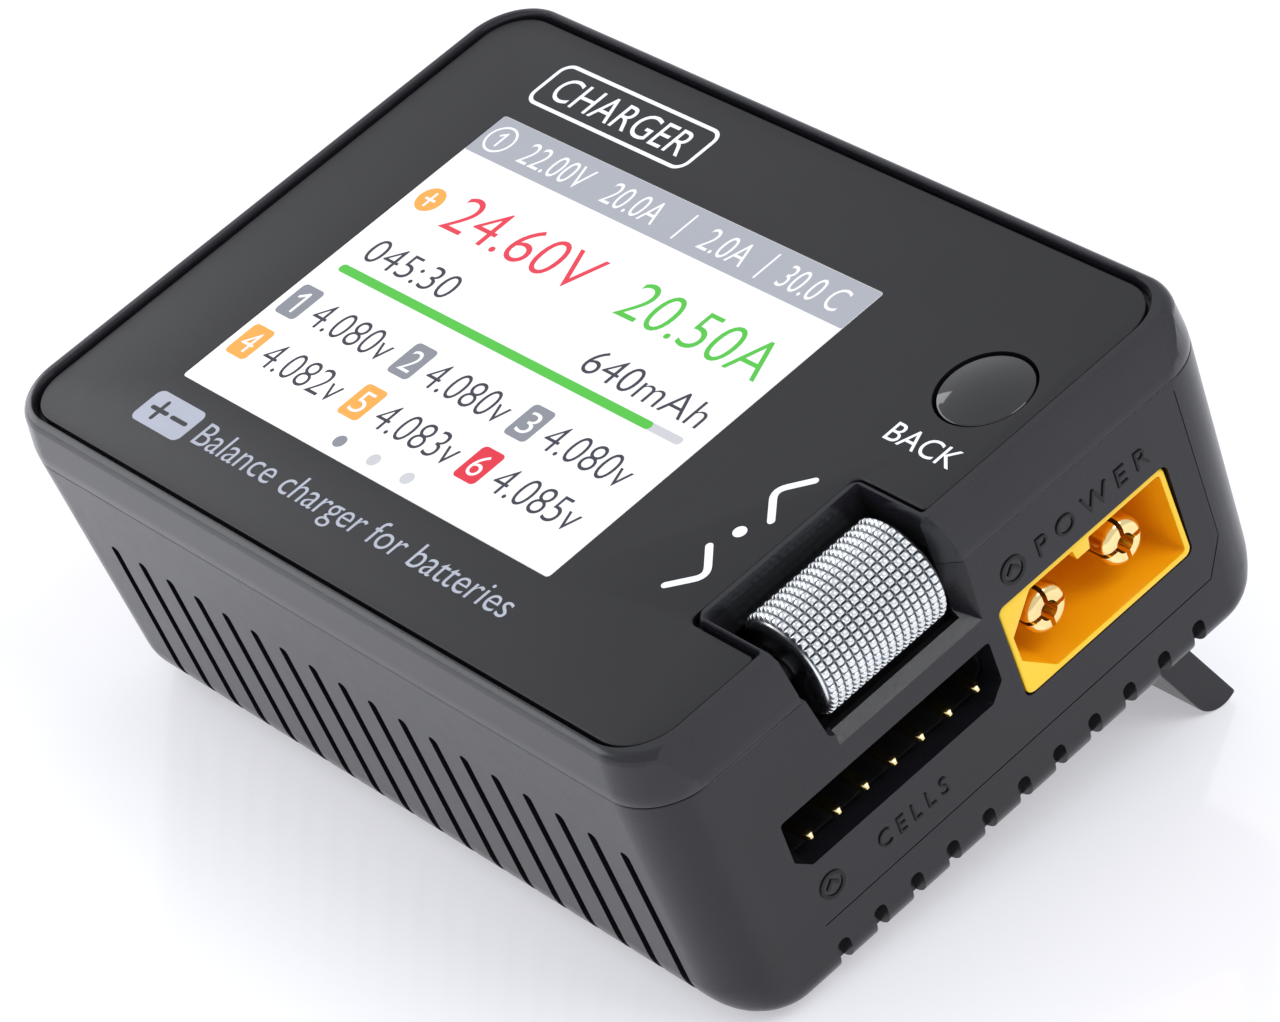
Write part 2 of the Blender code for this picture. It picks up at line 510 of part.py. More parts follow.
for k in range(7):
    a = 2 * math.pi * k / 7
    ring_in, ring_out = [], []
    for r, twist, keep in ((5.4, 0.42, ring_in), (13.3, 0.24, ring_out)):
        for s, w in ((-1, 0.35), (1, 0.35), (1, -0.35), (-1, -0.35)):
            ang = a + s * twist
            keep.append((fx + r * math.cos(ang), fy + r * math.sin(ang), -16.4 + s * 1.7 + w))
    carve(hub, "UNION", loft([ring_in, ring_out]))
carve(hub, "DIFFERENCE", turned("z", FAN_C, [(1.05, -25.0), (1.05, -15.2)], 12))
hub.data.materials.clear()
hub.data.materials.append(BLACK)
hub.data.shade_smooth()
hub.data.set_sharp_from_angle(angle=math.radians(35))
hub.parent = frame
piece("fan_shaft", turned("z", FAN_C, [(0.7, -19.0), (0.7, -15.5)], 12), STEEL, origin=(fx, fy, -16.0), smooth=40)

piece("heatsink", box(13.0, 28.4, -16.5, 9.5, -11.0, -9.1), ALU, cut=[], add=[
    joined([box(13.0 + k * 2.4, 14.0 + k * 2.4, -16.5, 9.5, -20.0, -10.0) for k in range(7)])])
for k, x in enumerate((-17.5, -9.3)):
    piece(f"capacitor_{k + 1}", turned("z", (x, 17.6), [(3.2, -19.8), (3.6, -19.4), (3.6, -9.6), (3.3, -9.1)], 24), CAN, smooth=40)
for k, x in enumerate((-3.8, 7.4)):
    piece(f"inductor_{k + 1}", prism("z", rounded(x, x + 9.8, 12.6, 22.2, 1.2, 2), -17.0, -9.1), FERRITE, cut=[
        turned("z", (x + 4.9, 17.4), [(2.6, -20.0), (2.6, -15.2)], 16)])
piece("buzzer", turned("z", (25.0, 15.6), [(4.2, -14.2), (4.4, -13.9), (4.4, -9.1)], 24), BLACK, cut=[
    turned("z", (25.0, 15.6), [(0.8, -20.0), (0.8, -12.0)], 10)], smooth=40)

# ---------------------------------------------------------------- screws, feet, kickstand
for k, b in enumerate(BOSSES):
    piece(f"case_screw_{k + 1}", turned("z", b, [(1.2, -15.6), (1.2, -14.3), (0.7, -14.3), (0.7, -4.2)], 14), STEEL, cut=[
        turned("z", b, [(0.55, -17.0), (0.55, -14.9)], 6)], smooth=40)
for (a, b), name in zip(FEET_X, ("front_foot_left", "front_foot_right")):
    piece(name, prism("z", rounded(a, b, *FOOT_Y, 1.2, 3), Z_BOT - FOOT_PROUD, Z_BOT + 0.6), RUBBER)

profile = [beside(STAND_L, half)]
back = beside(0, 0)
knuckle = [beside(STAND_KNUCKLE * math.cos(t), STAND_KNUCKLE * math.sin(t))
           for t in [math.radians(60 + 240 * k / 12) for k in range(13)]]
toe_c = (STAND_L - STAND_TOE_R, -half + STAND_TOE_R)
toe = [beside(toe_c[0] + STAND_TOE_R * math.sin(t), toe_c[1] - STAND_TOE_R * math.cos(t))
       for t in [math.radians(90 * k / 6) for k in range(7)]]
outline = [beside(STAND_L, half), beside(0.75, half)] + knuckle + [beside(0.75, -half)] + toe
groove = [beside(STAND_L - 1.0, 3.0), beside(STAND_L - 2.2, 3.0), beside(STAND_L - 2.2, half - 0.8), beside(STAND_L - 1.0, half - 0.8)]
hinge_origin = (0.5 * (STAND_X[0] + STAND_X[1]), hinge_y, hinge_z)
piece("kickstand", prism("x", outline, *STAND_X), CASE, origin=hinge_origin, cut=[
    joined([turned("x", HINGE, [(0.85, -40.0), (0.85, -22.0)], 12), turned("x", HINGE, [(0.85, 32.1), (0.85, 50.0)], 12)]),
    prism("x", groove, STAND_X[0] + 1.5, STAND_X[1] - 1.5),
], smooth=35)
piece("kickstand_grip_strip", prism("x", [beside(STAND_L - 1.15, half - 0.02), beside(STAND_L - 2.05, half - 0.02),
                                         beside(STAND_L - 2.05, half - 0.65), beside(STAND_L - 1.15, half - 0.65)],
                                   STAND_X[0] + 1.6, STAND_X[1] - 1.6), RUBBER, origin=hinge_origin)
piece("hinge_pin_left", turned("x", HINGE, [(0.6, -27.2), (0.6, -22.3)], 12), STEEL, smooth=40)
piece("hinge_pin_right", turned("x", HINGE, [(0.6, 32.4), (0.6, 37.2)], 12), STEEL, smooth=40)


# ---------------------------------------------------------------- stand it on its feet
def lean():
    """The tilt at which the near feet and the kickstand's toe touch the same ground."""
    toe_middle = beside(*toe_c)
    foot = (FOOT_Y[0], Z_BOT - FOOT_PROUD)
    low, high = 0.0, math.radians(40)
    for _ in range(60):
        t = 0.5 * (low + high)
        foot_h = foot[0] * math.sin(t) + foot[1] * math.cos(t)
        toe_h = toe_middle[0] * math.sin(t) + toe_middle[1] * math.cos(t) - STAND_TOE_R
        low, high = (t, high) if foot_h > toe_h else (low, t)
    return 0.5 * (low + high)


frame.rotation_euler = (lean(), 0.0, 0.0)
bpy.context.view_layer.update()
corners = [o.matrix_world @ v.co for o in bpy.data.objects if o.type == "MESH" for v in o.data.vertices]
low = [min(c[i] for c in corners) for i in range(3)]
high = [max(c[i] for c in corners) for i in range(3)]
frame.location = (-(low[0] + high[0]) / 2, -(low[1] + high[1]) / 2, -low[2])
bpy.context.view_layer.update()
print("lean", round(math.degrees(lean()), 6), "shift", [round(v / M, 5) for v in frame.location],
      "size", [round((high[i] - low[i]) / M, 2) for i in range(3)])
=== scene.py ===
import json
import math

import bmesh
import bpy
import numpy as np
from mathutils import Matrix, Vector


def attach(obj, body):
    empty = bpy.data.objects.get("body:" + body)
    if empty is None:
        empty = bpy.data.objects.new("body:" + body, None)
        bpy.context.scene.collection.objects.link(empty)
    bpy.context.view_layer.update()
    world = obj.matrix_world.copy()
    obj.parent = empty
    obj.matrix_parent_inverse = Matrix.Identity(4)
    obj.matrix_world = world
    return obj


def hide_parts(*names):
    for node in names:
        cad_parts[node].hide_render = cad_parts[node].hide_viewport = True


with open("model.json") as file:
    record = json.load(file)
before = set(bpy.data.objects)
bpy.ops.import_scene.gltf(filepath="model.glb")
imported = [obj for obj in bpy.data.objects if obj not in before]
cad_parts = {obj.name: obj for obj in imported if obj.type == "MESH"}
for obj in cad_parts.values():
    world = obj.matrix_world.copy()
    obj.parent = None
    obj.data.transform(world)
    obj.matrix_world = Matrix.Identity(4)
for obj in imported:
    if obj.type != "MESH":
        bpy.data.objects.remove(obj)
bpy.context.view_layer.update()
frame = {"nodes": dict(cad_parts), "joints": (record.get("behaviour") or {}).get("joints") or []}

# Everything is drawn in the charger's own axes, in millimetres: X along the long side
# of the screen, Y up the screen, Z out of its face, origin in the middle of the screen.
NODES = frame["nodes"]
JOINTS = {j["name"]: j for j in frame["joints"]}
MM = 0.001

_axis = Vector(JOINTS["wheel_turn"]["axis"])
LEAN = math.atan2(_axis.z, _axis.y)
_turn = Matrix.Rotation(LEAN, 4, "X")
_place = Vector(JOINTS["wheel_turn"]["pos_m"]) - _turn @ (Vector((37.0, -5.3, -3.95)) * MM)
TO_WORLD = Matrix.Translation(_place) @ _turn @ Matrix.Scale(MM, 4)

X0, X1 = -31.0, 40.6
Y0, Y1 = -24.8, 25.5
Z_TOP, Z_BOT = 0.35, -25.3
Z_PART, Z_WAIST = -3.7, -2.9
BEVEL_END, BEVEL_SIDE = 1.0, 0.35
R_CORNER, R_BOTTOM, R_BOTTOM_END = 4.6, 4.0, 1.8
DRAFT_LEFT, DRAFT_RIGHT, DRAFT_SIDE = 0.06, 0.045, 0.03
WALL = 1.8
GAP = 0.3
Z_DECK = -2.4
PANEL = (-29.3, 38.6, -23.4, 24.0)
PANEL_R, PANEL_T = 3.4, 0.5
NOTCH = (32.1, -13.2, 1.8)
WINDOW = (20.4, 15.3)
LCD = (22.9, 17.9)
BUTTON = (33.8, 11.9)
BUTTON_R, BUTTON_HOLE_R = 3.35, 3.65
WHEEL_C = (37.0, -3.95)
WHEEL_Y = (-10.9, 0.3)
WHEEL_R = 4.0
WHEEL_OPENING = (33.2, -12.4, 0.9, -7.8)
SOCKET_Y, SOCKET_Z = 10.86, -13.17
SOCKET_W, SOCKET_H, SOCKET_CUT = 15.3, 7.75, 2.35
SOCKET_X = (30.2, 40.1)
PIN_PITCH, PIN_R = 7.1, 1.75
PIN_TIP, INPUT_TIP = 39.3, -29.8
INPUT_Y = -6.0
INPUT_X = (-30.6, -20.9)
BALANCE = (-16.96, 1.74, -15.4, -10.7)
BALANCE_PIN = (-14.81, 2.5, -14.07)
SIDE_SLOTS, SIDE_PITCH, SIDE_FIRST, SIDE_TOP, SIDE_W = 18, 3.33, -22.6, -9.6, 0.9
SLOT_REACH = 21.2
END_SLOTS, END_PITCH, END_FIRST, END_W = 11, 3.3, -15.8, 1.1
STAND_X = (-25.4, 35.5)
STAND_T, STAND_KNUCKLE, STAND_TOE_R = 2.6, 1.5, 2.2
HINGE = (15.38, -23.8)
STAND_L = 11.9
STAND_OUT = math.atan2(2.4, 6.0)
FOOT_Y, FOOT_PROUD = (-20.2, -17.2), 0.5
FEET_X = ((-21.5, -9.5), (19.5, 31.5))
BOSSES = ((-26.0, -20.0), (36.3, -20.2), (-26.0, 20.9), (36.3, 20.9))
BOSS_R, WELL_R = 2.0, 1.5
FAN_C = (-4.0, -3.8)
N = 18  # points round a case corner


# ---------------------------------------------------------------- materials
def srgb(r, g, b):
    return tuple(((c / 255) / 12.92 if c / 255 <= 0.04045 else ((c / 255 + 0.055) / 1.055) ** 2.4) for c in (r, g, b))


def material(name, colour, rough, metallic=0.0, vary=0.12, vary_scale=180.0, rough_vary=0.06, rough_scale=900.0,
             bump=0.0, bump_scale=4000.0, specular=0.5, coat=0.0, coat_rough=0.1, emission=None, emission_strength=0.0,
             ior=1.5, stretch=(1, 1, 1)):
    """A Principled material whose colour, roughness and fine relief all vary over the surface."""
    made = bpy.data.materials.new(name)
    made.use_nodes = True
    tree = made.node_tree
    shader = tree.nodes["Principled BSDF"]
    links = tree.links
    where = tree.nodes.new("ShaderNodeTexCoord")
    spread = tree.nodes.new("ShaderNodeMapping")
    spread.inputs["Scale"].default_value = stretch
    links.new(where.outputs["Object"], spread.inputs["Vector"])
    clouds = tree.nodes.new("ShaderNodeTexNoise")
    clouds.inputs["Scale"].default_value = vary_scale
    clouds.inputs["Detail"].default_value = 5.0
    links.new(spread.outputs["Vector"], clouds.inputs["Vector"])
    ramp = tree.nodes.new("ShaderNodeValToRGB")
    ramp.color_ramp.elements[0].position = 0.3
    ramp.color_ramp.elements[1].position = 0.7
    ramp.color_ramp.elements[0].color = (*[max(0.0, c * (1 - vary)) for c in colour], 1)
    ramp.color_ramp.elements[1].color = (*[min(1.0, c * (1 + vary)) for c in colour], 1)
    links.new(clouds.outputs["Fac"], ramp.inputs["Fac"])
    links.new(ramp.outputs["Color"], shader.inputs["Base Color"])
    if emission is not None:
        shader.inputs["Emission Color"].default_value = (*emission, 1)
        shader.inputs["Emission Strength"].default_value = emission_strength
    grain = tree.nodes.new("ShaderNodeTexNoise")
    grain.inputs["Scale"].default_value = rough_scale
    grain.inputs["Detail"].default_value = 3.0
    links.new(spread.outputs["Vector"], grain.inputs["Vector"])
    level = tree.nodes.new("ShaderNodeMapRange")
    level.inputs["To Min"].default_value = max(0.02, rough - rough_vary)
    level.inputs["To Max"].default_value = min(1.0, rough + rough_vary)
    links.new(grain.outputs["Fac"], level.inputs["Value"])
    links.new(level.outputs["Result"], shader.inputs["Roughness"])
    if bump > 0:
        fine = tree.nodes.new("ShaderNodeTexNoise")
        fine.inputs["Scale"].default_value = bump_scale
        fine.inputs["Detail"].default_value = 2.0
        links.new(spread.outputs["Vector"], fine.inputs["Vector"])
        relief = tree.nodes.new("ShaderNodeBump")
        relief.inputs["Strength"].default_value = bump
        relief.inputs["Distance"].default_value = 0.00005
        links.new(fine.outputs["Fac"], relief.inputs["Height"])
        links.new(relief.outputs["Normal"], shader.inputs["Normal"])
    shader.inputs["Metallic"].default_value = metallic
    shader.inputs["Specular IOR Level"].default_value = specular
    shader.inputs["IOR"].default_value = ior
    shader.inputs["Coat Weight"].default_value = coat
    shader.inputs["Coat Roughness"].default_value = coat_rough
    return made


CASE = material("satin_charcoal_plastic", (0.008, 0.008, 0.011), 0.25, vary=0.10, rough_vary=0.05, bump=0.18, bump_scale=3200.0, ior=1.44)
CASE_UP = material("satin_charcoal_rim", (0.009, 0.009, 0.013), 0.22, vary=0.10, rough_vary=0.05, bump=0.14, bump_scale=3200.0)
FILM = material("printed_black_film", (0.011, 0.011, 0.013), 0.36, vary=0.06, rough_vary=0.04, bump=0.10, bump_scale=5200.0, specular=0.38)
# the white ink also glows faintly, a painted brightening
INK = material("white_ink_painted_glow", srgb(235, 237, 242), 0.5, vary=0.03, rough_vary=0.05, emission=(0.9, 0.92, 1.0), emission_strength=0.12)
INK_GREY = material("pale_grey_ink", srgb(178, 183, 196), 0.5, vary=0.04, rough_vary=0.05)
INK_DARK = material("dark_ink", srgb(38, 38, 44), 0.45, vary=0.05)
# the raised letters are painted darker and less shiny as the shade of cut lettering
LETTERING_SHADE = material("moulded_lettering_painted_shade", (0.005, 0.005, 0.006), 0.30, vary=0.1, bump=0.1, specular=0.25)
BLACK = material("black_plastic_satin", (0.006, 0.006, 0.007), 0.38, vary=0.12, bump=0.2, bump_scale=3000.0)
GLOSS = material("black_plastic_polished", (0.010, 0.010, 0.011), 0.06, vary=0.08, rough_vary=0.02, bump=0.015, bump_scale=900.0, coat=0.4, coat_rough=0.03)
YELLOW = material("yellow_nylon", (1.0, 0.62, 0.020), 0.26, vary=0.05, rough_vary=0.05, bump=0.12, bump_scale=2400.0)
# the socket's inside is painted deeper orange as the shade inside it
YELLOW_PAINTED_SHADE = material("yellow_nylon_painted_shade", (0.96, 0.40, 0.003), 0.30, vary=0.05, rough_vary=0.05, bump=0.12, bump_scale=2400.0, specular=0.35)
GOLD = material("gold_plated_brass", (1.0, 0.77, 0.36), 0.14, metallic=1.0, vary=0.08, rough_vary=0.05, bump=0.06, bump_scale=2200.0)
STEEL = material("plain_steel", (0.55, 0.55, 0.57), 0.28, metallic=1.0, vary=0.1, rough_vary=0.08, bump=0.1, stretch=(1, 1, 6))
WHEEL_GROOVE = material("knurl_groove_shadow", (0.22, 0.23, 0.24), 0.40, metallic=1.0, vary=0.1, rough_vary=0.06, bump=0.08, bump_scale=2600.0)
WHEEL_METAL = material("bright_knurled_metal", (0.80, 0.825, 0.84), 0.22, metallic=1.0, vary=0.05, rough_vary=0.06, bump=0.08, bump_scale=2600.0)
ALU = material("extruded_aluminium", (0.70, 0.70, 0.72), 0.34, metallic=1.0, vary=0.08, rough_vary=0.08, bump=0.15, stretch=(1, 8, 1))
CAN = material("sleeved_capacitor", (0.50, 0.50, 0.54), 0.30, metallic=1.0, vary=0.08)
# the display board is painted black so that it reads as shade inside the wheel's well
BOARD_PAINTED_SHADE = material("board_painted_black_as_shade", (0.008, 0.010, 0.009), 0.40, vary=0.2, vary_scale=420.0, rough_vary=0.08, bump=0.2, bump_scale=1500.0)
BOARD = material("green_solder_mask", (0.018, 0.11, 0.045), 0.36, vary=0.25, vary_scale=420.0, rough_vary=0.08, bump=0.2, bump_scale=1500.0)
RUBBER = material("soft_black_rubber", (0.016, 0.016, 0.017), 0.72, vary=0.15, rough_vary=0.08, bump=0.4, bump_scale=2600.0)
FERRITE = material("sintered_ferrite", (0.05, 0.05, 0.053), 0.65, vary=0.2, rough_vary=0.1, bump=0.5, bump_scale=2400.0)
SCREEN = material("lit_screen_white", (0.45, 0.455, 0.46), 0.20, vary=0.01, vary_scale=60.0, rough_vary=0.03, emission=(1.0, 1.0, 1.0), emission_strength=0.52)


def lit(name, r, g, b, glow=0.35):
    colour = srgb(r, g, b)
    return material(name, tuple(c * (1 - glow) + 0.002 for c in colour), 0.22, vary=0.02, rough_vary=0.03, emission=colour, emission_strength=glow)


S_WHITE = lit("screen_white_text", 250, 250, 252, 0.5)
S_BAR = lit("screen_status_bar", 170, 173, 182)
S_DARK = lit("screen_dark_text", 48, 48, 62)
S_RED = lit("screen_red_text", 232, 50, 72)
S_GREEN = lit("screen_green_text", 78, 196, 58)
S_ORANGE = lit("screen_orange", 246, 172, 68)
S_GREY = lit("screen_grey", 138, 141, 150)
S_PALE = lit("screen_pale_grey", 205, 206, 210)
S_ALARM = lit("screen_red_badge", 228, 34, 58)


# ---------------------------------------------------------------- shapes
def arc(cx, cy, r, a0, a1, n):
    return [(cx + r * math.cos(math.radians(a0 + (a1 - a0) * k / n)),
             cy + r * math.sin(math.radians(a0 + (a1 - a0) * k / n))) for k in range(n + 1)]


def rounded(x0, x1, y0, y1, r, n=8):
    return (arc(x1 - r, y1 - r, r, 0, 90, n) + arc(x0 + r, y1 - r, r, 90, 180, n)
            + arc(x0 + r, y0 + r, r, 180, 270, n) + arc(x1 - r, y0 + r, r, 270, 360, n))


def filleted(corners, n=6):
    """A polygon from (x, y, radius) corners, anticlockwise, each corner rounded by its radius."""
    out = []
    count = len(corners)
    for i, (x, y, r) in enumerate(corners):
        if r <= 0:
            out.append((x, y))
            continue
        before = Vector(corners[i - 1][:2]) - Vector((x, y))
        after = Vector(corners[(i + 1) % count][:2]) - Vector((x, y))
        half = before.angle(after) / 2
        along = r / math.tan(half)
        a = Vector((x, y)) + before.normalized() * along
        b = Vector((x, y)) + after.normalized() * along
        centre = Vector((x, y)) + (before.normalized() + after.normalized()).normalized() * (r / math.sin(half))
        a0 = math.atan2(a.y - centre.y, a.x - centre.x)
        turn = math.atan2(b.y - centre.y, b.x - centre.x) - a0
        turn = (turn + math.pi) % (2 * math.pi) - math.pi
        out += [(centre.x + r * math.cos(a0 + turn * k / n), centre.y + r * math.sin(a0 + turn * k / n))
                for k in range(n + 1)]
    return out


def stroke(points, width, n=8):
    """The outline of a pen stroke of that width through the points, with round ends, anticlockwise."""
    w = width / 2
    pts = [Vector(p) for p in points]
    left, right = [], []
    for i, p in enumerate(pts):
        into = (p - pts[i - 1]).normalized() if i else (pts[1] - p).normalized()
        away = (pts[i + 1] - p).normalized() if i < len(pts) - 1 else into
        mid = (into + away).normalized()
        side = Vector((-mid.y, mid.x)) * (w / max(0.5, mid.dot(into)))
        left.append(p + side)
        right.append(p - side)
    first, last = (pts[1] - pts[0]).normalized(), (pts[-1] - pts[-2]).normalized()
    a1 = math.degrees(math.atan2(last.y, last.x))
    a0 = math.degrees(math.atan2(first.y, first.x))
    end = arc(pts[-1].x, pts[-1].y, w, a1 - 90, a1 + 90, n)
    start = arc(pts[0].x, pts[0].y, w, a0 + 90, a0 + 270, n)
    return [tuple(p) for p in right[1:-1]] + end + [tuple(p) for p in left[1:-1]][::-1] + start


def put(axis, u, v, t):
    return {"x": (t, u, v), "y": (v, t, u), "z": (u, v, t)}[axis]


def loft(rings):
    n = len(rings[0])
    verts = [p for ring in rings for p in ring]
    faces = [list(range(n))[::-1], [(len(rings) - 1) * n + k for k in range(n)]]
    for j in range(len(rings) - 1):
        for k in range(n):
            m = (k + 1) % n
            faces.append([j * n + k, j * n + m, (j + 1) * n + m, (j + 1) * n + k])
    return verts, faces


def prism(axis, outline, t0, t1):
    return loft([[put(axis, u, v, t) for u, v in outline] for t in (t0, t1)])


def turned(axis, c, profile, n=64):
    return loft([[put(axis, c[0] + r * math.cos(2 * math.pi * k / n), c[1] + r * math.sin(2 * math.pi * k / n), t)
                  for k in range(n)] for r, t in profile])


def box(x0, x1, y0, y1, z0, z1):
    return prism("z", [(x1, y1), (x0, y1), (x0, y0), (x1, y0)], z0, z1)


def joined(shapes):
    verts, faces = [], []
    for v, f in shapes:
        faces += [[i + len(verts) for i in face] for face in f]
        verts += v
    return verts, faces


def rough_object(name, shape):
    """An object in millimetres, still in the charger's axes."""
    verts, faces = shape
    mesh = bpy.data.meshes.new(name)
    mesh.from_pydata([tuple(p) for p in verts], [], faces)
    mesh.validate()
    obj = bpy.data.objects.new(name, mesh)
    bpy.context.scene.collection.objects.link(obj)
    return obj


def bake_modifiers(obj):
    bpy.context.view_layer.update()
    made = bpy.data.meshes.new_from_object(obj.evaluated_get(bpy.context.evaluated_depsgraph_get()))
    obj.modifiers.clear()
    obj.data = made


def carve(obj, operation, *shapes):
    for shape in shapes:
        tool = rough_object("tool", shape)
        step = obj.modifiers.new("cut", "BOOLEAN")
        step.operation = operation
        step.solver = "EXACT"
        step.object = tool
        bake_modifiers(obj)
        bpy.data.objects.remove(tool, do_unlink=True)


def soften(obj, width, segments=2, angle=32.0):
    """Rounds every edge sharper than the angle, after merging the slivers that a cut leaves."""
    work = bmesh.new()
    work.from_mesh(obj.data)
    bmesh.ops.remove_doubles(work, verts=work.verts, dist=0.004)
    bmesh.ops.dissolve_degenerate(work, edges=work.edges, dist=0.002)
    bmesh.ops.dissolve_limit(work, angle_limit=math.radians(0.6), verts=work.verts, edges=work.edges, use_dissolve_boundaries=False)
    work.to_mesh(obj.data)
    work.free()
    step = obj.modifiers.new("edges", "BEVEL")
    step.width = width
    step.segments = segments
    step.limit_method = "ANGLE"
    step.angle_limit = math.radians(angle)
    step.use_clamp_overlap = True
    step.harden_normals = False
    step.miter_outer = "MITER_ARC"
    bake_modifiers(obj)


def dress(obj, look, body, replaces=(), smooth=35.0, weighted=False, inner=None):
    """Puts a finished piece in the scene: into the row's frame, with its look, riding on its body.
    inner is a second look and the test that says which faces wear it."""
    chosen = [i for i, face in enumerate(obj.data.polygons) if inner and inner[1](*face.center)]
    obj.data.transform(TO_WORLD)
    obj.data.materials.clear()
    obj.data.materials.append(look)
    obj.data.polygons.foreach_set("material_index", [0] * len(obj.data.polygons))
    if inner:
        obj.data.materials.append(inner[0])
        for i in chosen:
            obj.data.polygons[i].material_index = 1
    obj.data.shade_smooth()
    obj.data.set_sharp_from_angle(angle=math.radians(smooth))
    if weighted:
        step = obj.modifiers.new("normals", "WEIGHTED_NORMAL")
        step.keep_sharp = True
        step.weight = 80
    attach(obj, body)
    if replaces:
        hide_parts(*replaces)
    return obj


# ---------------------------------------------------------------- case outline
def section(z, inset=0.0, n=N, inset_end=None):
    down = max(0.0, Z_PART - z)
    up = max(0.0, (z - Z_WAIST) / (Z_TOP - Z_WAIST))
    if abs(z - Z_WAIST) < 0.3:  # the bevel's lower edge is slightly rounded
        up = (z - Z_WAIST + 0.3) ** 2 / (4 * 0.3) / (Z_TOP - Z_WAIST)
    end = inset if inset_end is None else inset_end
    x0 = X0 + DRAFT_LEFT * down + BEVEL_SIDE * up + end
    x1 = X1 - DRAFT_RIGHT * down - end
    y0 = Y0 + DRAFT_SIDE * down + BEVEL_SIDE * up + inset
    y1 = Y1 - DRAFT_SIDE * down - BEVEL_SIDE * up - inset
    r = max(R_CORNER - 0.8 * inset, 0.8)
    return [(x, y, z) for x, y in rounded(x0, x1, y0, y1, r, n)]


def panel_outline(grow, r, n=14):
    x0, x1, y0, y1 = PANEL
    nx, ny0, ny1 = NOTCH
    g = grow
    return filleted([
        (x1 + g, y1 + g, r + g), (x0 - g, y1 + g, r + g), (x0 - g, y0 - g, r + g), (x1 + g, y0 - g, r + g),
        (x1 + g, ny0 + g, 0.3), (nx + g, ny0 + g, 0.8), (nx + g, ny1 - g, 0.8), (x1 + g, ny1 - g, 0.3),
    ], n)


# ---------------------------------------------------------------- the wheel's opening in the end
WHEEL_WINDOW = filleted([(WHEEL_OPENING[2], WHEEL_OPENING[3], 0.4), (WHEEL_OPENING[2], 0.0, 0), (WHEEL_OPENING[1], 0.0, 0),
                         (WHEEL_OPENING[1] + 0.3, Z_PART, 0), (WHEEL_OPENING[1] + 1.0, WHEEL_OPENING[3], 0.6)], 5)


def wheel_flare(top):
    """The slope from the end wall in towards the wheel, at the far side and below it."""
    y1, z0 = WHEEL_OPENING[2], WHEEL_OPENING[3]
    return loft([
        [(39.0, y1, z0), (39.0, y1, top), (39.0, -10.6, top), (39.0, -10.6, z0)],
        [(41.4, y1 + 1.7, z0 - 1.7), (41.4, y1 + 1.7, top), (41.4, -11.2, top), (41.4, -11.2, z0 - 1.7)],
    ])


def in_shaded_well(x, y, z):
    """True inside the wheel's opening, whose faces are painted a duller black as shade in the recess."""
    return 33.1 < x < 39.02 and WHEEL_OPENING[1] - 0.15 < y < WHEEL_OPENING[2] + 0.15 and z < -0.40


def in_shaded_gap(x, y, z):
    """True in the wheel's opening and in the groove round the front panel, the faces painted black as shade."""
    return in_shaded_well(x, y, z) or (-0.9 < z < -0.11 and -30.0 < x < 39.2 and -24.1 < y < 24.6)


# ---------------------------------------------------------------- upper shell
wx, wy0, wy1, wz = WHEEL_OPENING
rings = [section(-5.2, 2.2), section(Z_PART, 2.1), section(Z_PART, 0.07), section(Z_PART + 0.03, 0.02), section(Z_PART + 0.09)]
rings += [section(Z_WAIST + 0.3 * t) for t in (-1.0, -0.6, -0.2, 0.2, 0.6, 1.0)]
for k in range(10):
    t = math.radians(90 * k / 9)
    rings.append(section(-0.4 + 0.75 * math.sin(t), 0.62 * (1 - math.cos(t))))
upper = rough_object("case_top", loft(rings))
carve(
    upper, "DIFFERENCE",
    loft([section(-7.0, 3.1 - 0.12), section(Z_DECK, 3.1)]),
    prism("z", panel_outline(0.30, PANEL_R), -0.8, 3.0),
    loft([[(x, y, -0.12) for x, y in panel_outline(0.29, PANEL_R)], [(x, y, 0.5) for x, y in panel_outline(0.54, PANEL_R)]]),
    joined([
        prism("z", rounded(-LCD[0] - 0.5, LCD[0] + 0.5, -LCD[1] - 0.5, LCD[1] + 0.5, 0.6, 4), -5.0, 2.0),
        turned("z", BUTTON, [(BUTTON_HOLE_R, -5.0), (BUTTON_HOLE_R, 2.0)], 64),
        box(wx, 60.0, wy0, wy1, -9.0, 2.0),
    ]),
    # the frame round the wheel slopes in towards its opening on the face
    loft([[(60.0, wy1, -0.42), (wx, wy1, -0.42), (wx, wy0, -0.42), (60.0, wy0, -0.42)],
          [(60.0, wy1 + 0.26, 0.5), (wx - 0.26, wy1 + 0.26, 0.5), (wx - 0.26, wy0 - 0.26, 0.5), (60.0, wy0 - 0.26, 0.5)]]),
    box(32.7, 38.75, -16.8, 16.4, -9.0, Z_DECK),
    wheel_flare(5.0),
    # the flat bevel across the output end, from the rim down to the waist
    prism("y", [(Z_WAIST, X1), (Z_WAIST, 50.0), (4.0, 50.0), (4.0, X1 - BEVEL_END * (4.0 - Z_WAIST) / (Z_TOP - Z_WAIST))][::-1], -60.0, 60.0),
)
soften(upper, 0.12, 3, 24)
# the wheel's opening and the groove round the panel wear the black look as painted shade
dress(upper, CASE_UP, "case", ["upper_shell"], 40, weighted=True, inner=(BLACK, in_shaded_gap))


# ---------------------------------------------------------------- lower shell
def wall_x(z):
    return X1 - DRAFT_RIGHT * max(0.0, Z_PART - z)


def on_wall(shape, proud=0.05):
    """A flat drawing (its x along +Y, its y along +Z) laid on the drafted end wall."""
    verts, faces = shape
    return [(wall_x(v) + w + proud - 0.05, u, v) for u, v, w in verts], faces


